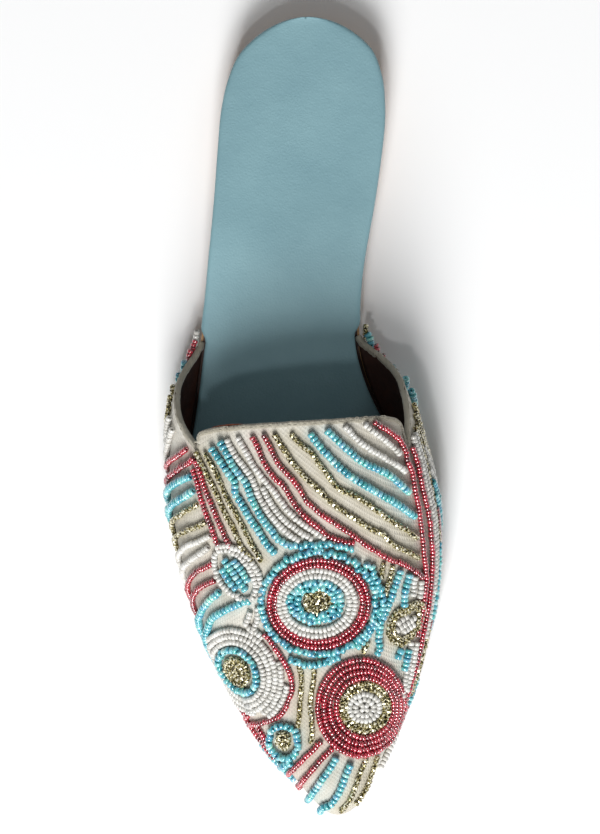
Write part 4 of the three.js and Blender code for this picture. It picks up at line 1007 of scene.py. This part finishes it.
# The fold round the edge: how far down the cloth and how far out of it, in millimetres
fold = [(1.35, -0.2), (1.35, 0.02), (1.15, 0.13), (0.7, 0.16), (0.2, 0.1), (-0.08, -0.04), (-0.22, -0.35),
        (-0.26, -0.9), (-0.2, -1.4), (-0.04, -1.78), (0.4, -1.94), (1.1, -1.92), (1.25, -1.85), (1.25, -1.5)]
ripple = (softRelief(rimPoints, binding["wave"][0])
          + 0.6 * softRelief(rimPoints[:, [1, 2, 0]], binding["wave"][1]))[:, None]
rings = []
for down, out in fold:
    frayed = ripple * binding["edgeFray" if down > 0.5 else "foldFray"]
    lifted = binding["lift"] * ripple * (1 if out > 0 else -1)
    rings.append(rimPoints + inward * (down + frayed) + rimNormals * (out + lifted))
fabric = np.stack(rings, axis=1)
bindingPiece = meshPiece("collar_binding", fabric, tubeFaces(len(even), len(fold)), clothMaterial)
paint(bindingPiece, np.tile(hexColour("#ABA697"), (len(even) * len(fold), 1)))

# Cotton thread, mercerised: a soft sheen on short raised stitches
threadMaterial, tree, shader = newMaterial("cotton_thread", Roughness=0.55, Sheen_Weight=0.3)
shader.inputs["Base Color"].default_value = hexColour("#A8A292")


def stitchShape(middle, ahead, up, long, thick, stations=7, around=6):
    side = np.cross(up, ahead)
    points = []
    for f in np.linspace(-0.5, 0.5, stations):
        wide = thick / 2 * math.sqrt(max(1 - (2 * f) ** 4, 0.05))
        lift = thick * 0.28 * (1 - (2 * f) ** 2)
        for turn in np.arange(around) / around * 2 * math.pi:
            out = side * wide * math.cos(turn) + up * (lift + wide * math.sin(turn))
            points.append(middle + ahead * f * long + out)
    return np.array(points), tubeFaces(stations, around, flip=True)


places = np.arange(binding["firstStitch"], run[-1] - binding["firstStitch"], binding["stitchEvery"])
places = places + rng.normal(0, binding["uneven"], len(places))
stitchLayers = []
for spot in places:
    n = int(spot / run[-1] * (len(even) - 1))
    down = inward[n] * (binding["stitchDown"] + 0.2 * ripple[n])
    middle = rimPoints[n] + down + rimNormals[n] * binding["stitchOut"]
    size = (binding["stitchLong"], binding["thread"])
    stitchLayers.append(stitchShape(middle, rimAlong[n], rimNormals[n], *size))
points, faces = joinLayers(stitchLayers)
stitches = meshPiece("binding_stitches", points, faces, threadMaterial)


# A round strand along a path, its ends closed
def strand(path, radius, around=6):
    ahead = unit(np.gradient(path, axis=0))
    side = unit(np.cross(ahead, (0.3, 0.2, 1.0)))
    over = np.cross(ahead, side)
    turn = (np.arange(around) / around * 2 * math.pi)[:, None]
    rings = path[:, None] + radius * (side[:, None] * np.cos(turn) + over[:, None] * np.sin(turn))
    return rings.reshape(-1, 3), tubeFaces(len(path), around, flip=True)


# The lining's cut edge stands just above the binding at the lateral corner of the tongue
peek = {"from": 0.322, "to": 0.392, "radius": 0.42, "above": 0.55, "sunk": 0.25, "inside": 1.1}
nth = np.arange(int(peek["from"] * len(even)), int(peek["to"] * len(even)))
fade = np.sin(np.linspace(0, math.pi, len(nth)))[:, None] ** 0.5
above = inward[nth] * (peek["above"] * fade - peek["sunk"])
edgePath = rimPoints[nth] - above - rimNormals[nth] * peek["inside"]
points, faces = strand(edgePath, peek["radius"], 8)
liningEdge = meshPiece("lining_edge", points, faces, rustMaterial)

# Loose ends of thread stand off the cut cloth in small loops, real 0.1 mm thread drawn at 0.16
loose = {"count": 12, "margin": 20, "radius": 0.08, "high": (0.6, 1.7), "wide": (0.4, 1.2), "skew": 0.8}
loops = []
for n in rng.integers(loose["margin"], len(even) - loose["margin"], loose["count"]):
    reach, wide = rng.uniform(*loose["high"]), rng.uniform(*loose["wide"])
    f = np.linspace(0, 1, 12)[:, None]
    skew = rng.uniform(-loose["skew"], loose["skew"])
    drift = rimAlong[n] * (wide * np.sin(f * math.pi * 2) + skew * f)
    high = inward[n] * (reach * np.sin(f * math.pi) - 0.3)
    loops.append(strand(rimPoints[n] - high + drift + rimNormals[n] * (0.1 + 0.5 * f), loose["radius"], 5))
points, faces = joinLayers(loops)
looseThreads = meshPiece("loose_threads", points, faces, threadMaterial)


# A place on the sole's edge, drawn in square to it
def edgePoint(side, at, inset):
    probe = 0.002
    behind, ahead = np.maximum(at - probe, 0), np.minimum(at + probe, 1)
    runOn = (ahead - behind) * length
    drift = soleEdge(side, ahead) - soleEdge(side, behind)
    edge = np.hypot(runOn, drift)
    tip = (at < probe) | (at > 1 - probe)
    alongStep = np.where(tip, np.where(at < 0.5, inset, -inset), side * drift * inset / edge)
    acrossStep = np.where(tip, 0, -side * runOn * inset / edge)
    return at + alongStep / length, soleEdge(side, at) + acrossStep


# A layer of the sole from heel to toe: its profile is inset and height by corner, the same on both sides
def soleLayer(start, end, profile, steps=240):
    corners = []
    for side in (-1, 1):
        f = np.linspace(float(stretched(start[side])), float(stretched(end[side])), steps + 1)
        at = (1 - np.cos(math.pi * f)) / 2
        for inset, height in (profile if side < 0 else profile[::-1]):
            insets = inset(at) if callable(inset) else np.full(len(at), float(inset))
            where, across = edgePoint(side, at, insets)
            corners.append(inFrame(where, across, height(at)))
    return np.stack(corners, axis=1).reshape(-1, 3), tubeFaces(steps + 1, len(corners))


def both(value):
    return {-1: value, 1: value}


def raised(surface, lift):
    def height(at):
        return surface(at) + lift
    return height


def level(height):
    def everywhere(at):
        return np.full(np.shape(at), height)
    return everywhere


def ribbed(at):
    return undersideHeight(at) + shoe["treadDepth"]


# Tread: zigzag ridges every pitch, each with a flat crest and foot, fine ribs between them, and plain pads
tread = {"pitch": 7.1, "first": 150.8, "wavelength": 19.0, "crest": 9.1, "lean": -0.03, "swing": 2.6,
         "flat": 2.4, "top": 1.5, "base": 2.6, "margin": 0.8, "from": 0.56, "to": 0.922, "halfSpan": 60,
         "archPadTo": 0.5305, "bandFrom": 0.5335, "ribEvery": 1.08, "ribHigh": 0.34, "ribTop": 0.22,
         "ribBase": 0.62, "ridgeSunk": 0.25, "ribSunk": 0.15}
bodyProfile = [(0.9, ribbed), (0.25, raised(ribbed, 0.12)), (0.0, raised(ribbed, 0.5)),
               (0.0, raised(outsoleTop, -0.4)), (0.2, raised(outsoleTop, -0.08)), (0.7, outsoleTop)]
padProfile = [(1.1, undersideHeight), (0.7, raised(undersideHeight, 0.1)),
              (0.5, raised(undersideHeight, 0.4)), (0.5, raised(ribbed, 0.3))]
body = soleLayer(both(0.0), both(1.0), bodyProfile)
padEnds = [(0.0, tread["archPadTo"]), (tread["bandFrom"], tread["from"]), (tread["to"], 1.0)]
pads = [soleLayer(both(start), both(end), padProfile, 120) for start, end in padEnds]


def insideSole(at, across, margin):
    left, right = soleEdge(-1, at) + margin, soleEdge(1, at) - margin
    return (across > left) & (across < right)


# A ridge under the sole with a flat crest and sloped sides, its base sunk in the rubber
def ridgeStrip(corners, top, base, height, sunk):
    rings = []
    for off, lift in ((-base / 2, -sunk), (-top / 2, height), (top / 2, height), (base / 2, -sunk)):
        at = (corners[:, 0] + off) / length
        rings.append(inFrame(at, corners[:, 1], ribbed(at) - lift))
    return np.stack(rings, axis=1).reshape(-1, 3), tubeFaces(len(corners), len(rings), flip=True)


ridges = []
across = np.linspace(-tread["halfSpan"], tread["halfSpan"], 481)
edgeFlat = tread["flat"] / tread["wavelength"]
middleLine = tread["first"]
while middleLine + tread["swing"] < tread["to"] * length:
    drift = tread["lean"] * (middleLine - tread["first"])
    phase = (across - tread["crest"] - drift) / tread["wavelength"]
    saw = np.abs(((phase + 0.5) % 1) - 0.5) * 2
    wave = 1 - 2 * np.clip((saw - edgeFlat) / (1 - 2 * edgeFlat), 0, 1)
    wave = np.convolve(np.pad(wave, 2, mode="edge"), np.ones(5) / 5, mode="valid")
    corners = np.stack([middleLine + tread["swing"] * wave, across], axis=1)
    kept = insideSole(corners[:, 0] / length, across, tread["margin"] + 0.4)
    size = (tread["top"], tread["base"], shoe["treadDepth"], tread["ridgeSunk"])
    ridges.append(ridgeStrip(corners[kept], *size))
    middleLine += tread["pitch"]
ribs = []
for along in np.arange(tread["from"] * length + 0.5, tread["to"] * length, tread["ribEvery"]):
    left, right = [soleEdge(side, along / length) - side * tread["margin"] for side in (-1, 1)]
    corners = np.stack([np.full(5, along), np.linspace(left, right, 5)], axis=1)
    ribs.append(ridgeStrip(corners, tread["ribTop"], tread["ribBase"], tread["ribHigh"], tread["ribSunk"]))
print("tread cut:", len(ridges), "ridges and", len(ribs), "ribs")

# Thermoplastic rubber, moulded: tan and waxy, matt in the grooves, polished where it is flat
soleMaterial, tree, shader, place = tonedMaterial(
    "tan_moulded_rubber", ("#A97F50", "#B58B5C"), 14.0, 6.0, Roughness=0.42, IOR=1.5, Coat_Weight=0.12,
    Coat_Roughness=0.35)
bumpOn(tree, shader, noise(tree, place, 0.8, 6.0), 0.00015, 0.5)

# The same rubber between the ridges, off the mould: darker and browner, a painted shade for the fine ribs,
# which hold the light
ribMaterial = tonedMaterial("tan_ribbed_rubber", ("#B57A40", "#C1864A"), 6.0, Roughness=0.55, IOR=1.5)[0]

# In the bottom of the grooves the rubber is coloured darker and matt
grooveMaterial = tonedMaterial("dark_groove_rubber", ("#7A4A20", "#8F5B2B"), 3.0, Roughness=0.7)[0]

# Toe patch: rubber pressed with a crushed-leather grain, rough, and rubbed pale on its high spots
patchMaterial, tree, shader = newMaterial("toe_patch_rubber", Roughness=0.6, IOR=1.5)
place = objectPlace(tree)
grain = creases(tree, place, 1.9)
speck = noise(tree, place, 1.3, 5.0, 0.7)
speckColour = ramp(tree, speck, [(0.4, "#A9794A"), (0.52, "#CFAE83"), (0.64, "#E6D6BC")])
tree.links.new(speckColour, shader.inputs["Base Color"])
relief = addNode(tree, "ShaderNodeMath", {"operation": "ADD"}, i0=grain, i1=speck).outputs[0]
bumpOn(tree, shader, relief, 0.0006, 0.8)

# The body's quads run round each section: the last one of each side is its top, which is inked brown, and its
# tread floor, which is coloured darker
rubbers = [soleMaterial, ribMaterial, patchMaterial, liningMaterial, grooveMaterial]
outsoleParts = [(body, 0), (pads[0], 0), (pads[1], 0), (pads[2], 2)]
outsoleParts += [(ridge, 0) for ridge in ridges] + [(rib, 1) for rib in ribs]
points, faces = joinLayers([part for part, slot in outsoleParts])
slots = np.concatenate([np.full(sum(len(f) for f in part[1]), slot) for part, slot in outsoleParts])
bodyQuads, perSection = len(body[1][0]), 2 * len(bodyProfile)
slots[np.arange(len(bodyProfile) - 1, bodyQuads, perSection)] = rubbers.index(liningMaterial)
slots[np.arange(perSection - 1, bodyQuads, perSection)] = rubbers.index(grooveMaterial)
outsolePiece = meshPiece("moulded_outsole", points, faces, rubbers, False, slots=slots)
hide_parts("outsole")

# Heel block: sawn square at the breast, its foot drawn in a little. Its underside is cut from patterned
# sheet: nested diamonds, with whirled squares between them, in low ridges
heel = {"edge": [(0.9, 0.3), (0.3, 0.42), (0.0, 0.9)], "sunk": 0.25}
sheet = {"halfAlong": 14.8, "halfAcross": 14.7, "first": (16.5, -10.5), "ridge": 0.9, "relief": 0.4,
         "crest": 0.45, "nested": (0.97, 0.74, 0.51, 0.28), "whirl": 0.97, "whirls": 9, "whirlTurn": 14,
         "whirlShrink": 0.82, "margin": 1.0, "fewest": 4}
breast = {-1: shoe["heelBreast"]["lateral"], 1: shoe["heelBreast"]["medial"]}
blockProfile = [(shoe["heelTaper"] + inset, level(height)) for inset, height in heel["edge"]]
blockProfile.append((0.0, level(shoe["heelHeight"] - shoe["glueGap"] + heel["sunk"])))
heelBody = soleLayer(both(0.0), breast, blockProfile, 160)


def insideHeel(points, margin):
    breastAt = mix(breast[-1], breast[1], (points[:, 1] + 32) / 55) * length
    inside = insideSole(np.clip(points[:, 0] / length, 0.002, 1), points[:, 1], shoe["heelTaper"] + margin)
    return inside & (points[:, 0] > margin + 1) & (points[:, 0] < breastAt - margin)


def lowRidge(a, b):
    line = (b - a) / np.linalg.norm(b - a)
    side = np.array([-line[1], line[0]]) * sheet["ridge"] / 2
    corners = []
    for end in (a, b):
        for off in (-1, -sheet["crest"], sheet["crest"], 1):
            along, across = end + side * off
            corners.append(inFrame(along / length, across, sheet["relief"] if abs(off) == 1 else 0))
    return np.array(corners), tubeFaces(2, 4, flip=True)


whirls = [
    (sheet["whirl"] * sheet["whirlShrink"] ** k, sheet["whirlTurn"] * k)
    for k in range(sheet["whirls"])
]
diamonds = [(share, 0) for share in sheet["nested"]]
halves = np.array([sheet["halfAlong"], sheet["halfAcross"]])
ridgesOnHeel = []
for i, j in [(i, j) for i in range(-2, 5) for j in range(-3, 4) if i % 2 == j % 2]:
    middle = sheet["first"] + halves * (i, j)
    for share, turned in (whirls if i % 2 else diamonds):
        angles = np.radians(turned) + np.arange(5) * math.pi / 2
        corners = middle + share * halves * np.stack([np.cos(angles), np.sin(angles)], axis=1)
        for a, b in zip(corners[:-1], corners[1:]):
            samples = a + (b - a) * np.linspace(0, 1, 30)[:, None]
            kept = np.flatnonzero(insideHeel(samples, sheet["margin"]))
            if len(kept) >= sheet["fewest"]:
                ridgesOnHeel.append(lowRidge(samples[kept[0]], samples[kept[-1]]))
print("heel sheet:", len(ridgesOnHeel), "ridges")
points, faces = joinLayers([heelBody] + ridgesOnHeel)
heelPiece = meshPiece("heel_block", points, faces, soleMaterial, False)
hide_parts("heel")


# Insole: faux leather wrapped over board, with a rounded edge
def insoleInset(at):
    inside = ease((at - shoe["insoleNarrowsFrom"]) / (shoe["insoleNarrowsTo"] - shoe["insoleNarrowsFrom"]))
    tip = shoe["toeRoom"] * ease((at - shoe["toeRoomFrom"]) / (1 - shoe["toeRoomFrom"]))
    underUpper = shoe["upperWall"] - shoe["upperOverhang"] + shoe["insoleFit"]
    return mix(-shoe["insoleOverhang"], underUpper, inside) + tip


def insoleCorner(inset, rise):
    def insetAt(at):
        return insoleInset(at) + inset * ease(np.minimum(at, 1 - at) / 0.02 + 0.15)
    return insetAt, raised(outsoleTop, shoe["glueGap"] + rise)


insoleEdge = [(0.5, 0.05), (0.1, 0.3), (0.0, 1.0), (0.0, 1.9), (0.12, 2.45), (0.5, 2.82), (1.1, 2.97),
              (2.4, 3.0), (6.0, 2.95), (11.0, 2.85)]
insoleProfile = [insoleCorner(*corner) for corner in insoleEdge]
insolePoints, insoleFaces = soleLayer(both(0.0), both(1.0), insoleProfile, 300)
# Polyurethane faux leather, embossed with a fine grain: even grey-blue with a satin coat
insoleMaterial, tree, shader, place = tonedMaterial(
    "grey_blue_faux_leather", ("#789DA6", "#82A7AF"), 20.0, 5.0, Roughness=0.55, IOR=1.45, Coat_Weight=0.05,
    Coat_Roughness=0.45)
first = bumpOn(tree, shader, noise(tree, place, 5.0, 4.0), 0.0004, 0.35)
bumpOn(tree, shader, creases(tree, place, 1.1), 0.00025, 0.35, before=first)
insolePiece = meshPiece("covered_insole", insolePoints, insoleFaces, insoleMaterial)
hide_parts("insole")
print("sole, heel and insole made")

# Floor, light and camera
floorMaterial, tree, shader = newMaterial("pale_floor", Roughness=0.9, Base_Color=hexColour("#FAFAFA"))
floorMesh = bpy.data.meshes.new("floor")
floorMesh.from_pydata([(-3, -3, 0), (3, -3, 0), (3, 3, 0), (-3, 3, 0)], [], [(0, 1, 2, 3)])
floorMesh.materials.append(floorMaterial)
floor = bpy.data.objects.new("floor", floorMesh)
bpy.context.scene.collection.objects.link(floor)

middle = (Vector(cadBounds[0]) + Vector(cadBounds[1])) / 2
cameraLook = {"away": 2.4, "roll": -2.147, "tall": 0.273, "film": 24.0}
camera = bpy.data.objects.new("camera", bpy.data.cameras.new("camera"))
camera.data.sensor_fit = "VERTICAL"
camera.data.sensor_height = cameraLook["film"]
camera.data.lens = cameraLook["away"] * cameraLook["film"] / cameraLook["tall"]
camera.location = middle + Vector((0, 0, cameraLook["away"]))
camera.rotation_euler = (0, 0, math.radians(cameraLook["roll"]))
bpy.context.scene.collection.objects.link(camera)
bpy.context.scene.camera = camera


def softbox(name, spot, aim, size, power):
    lamp = bpy.data.objects.new(name, bpy.data.lights.new(name, "AREA"))
    lamp.data.shape = "RECTANGLE"
    lamp.data.size, lamp.data.size_y = size
    lamp.data.energy = power
    lamp.location = spot
    lamp.rotation_euler = (Vector(aim) - Vector(spot)).to_track_quat("-Z", "Y").to_euler()
    bpy.context.scene.collection.objects.link(lamp)


# The key stands at the toe, so that the insole lies in the shade of the vamp; a small lamp above it puts a
# hard glint on each bead, and a low fill keeps the heel's side open
softbox("toe_softbox", (-0.3, -1.97, 1.69), (0, 0, 0.02), (0.9, 1.6), 90)
softbox("glint_lamp", (-0.25, -0.9, 2.1), (0, 0, 0.02), (0.14, 0.14), 5)
softbox("heel_fill", (1.2, 1.0, 1.8), (0, 0, 0.02), (0.9, 0.9), 3)
world = bpy.data.worlds.new("studio")
world.use_nodes = True
world.node_tree.nodes["Background"].inputs["Color"].default_value = hexColour("#F3F6F8")
world.node_tree.nodes["Background"].inputs["Strength"].default_value = 0.19
bpy.context.scene.world = world
bpy.context.scene.view_settings.view_transform = "Standard"

print("scene ready")
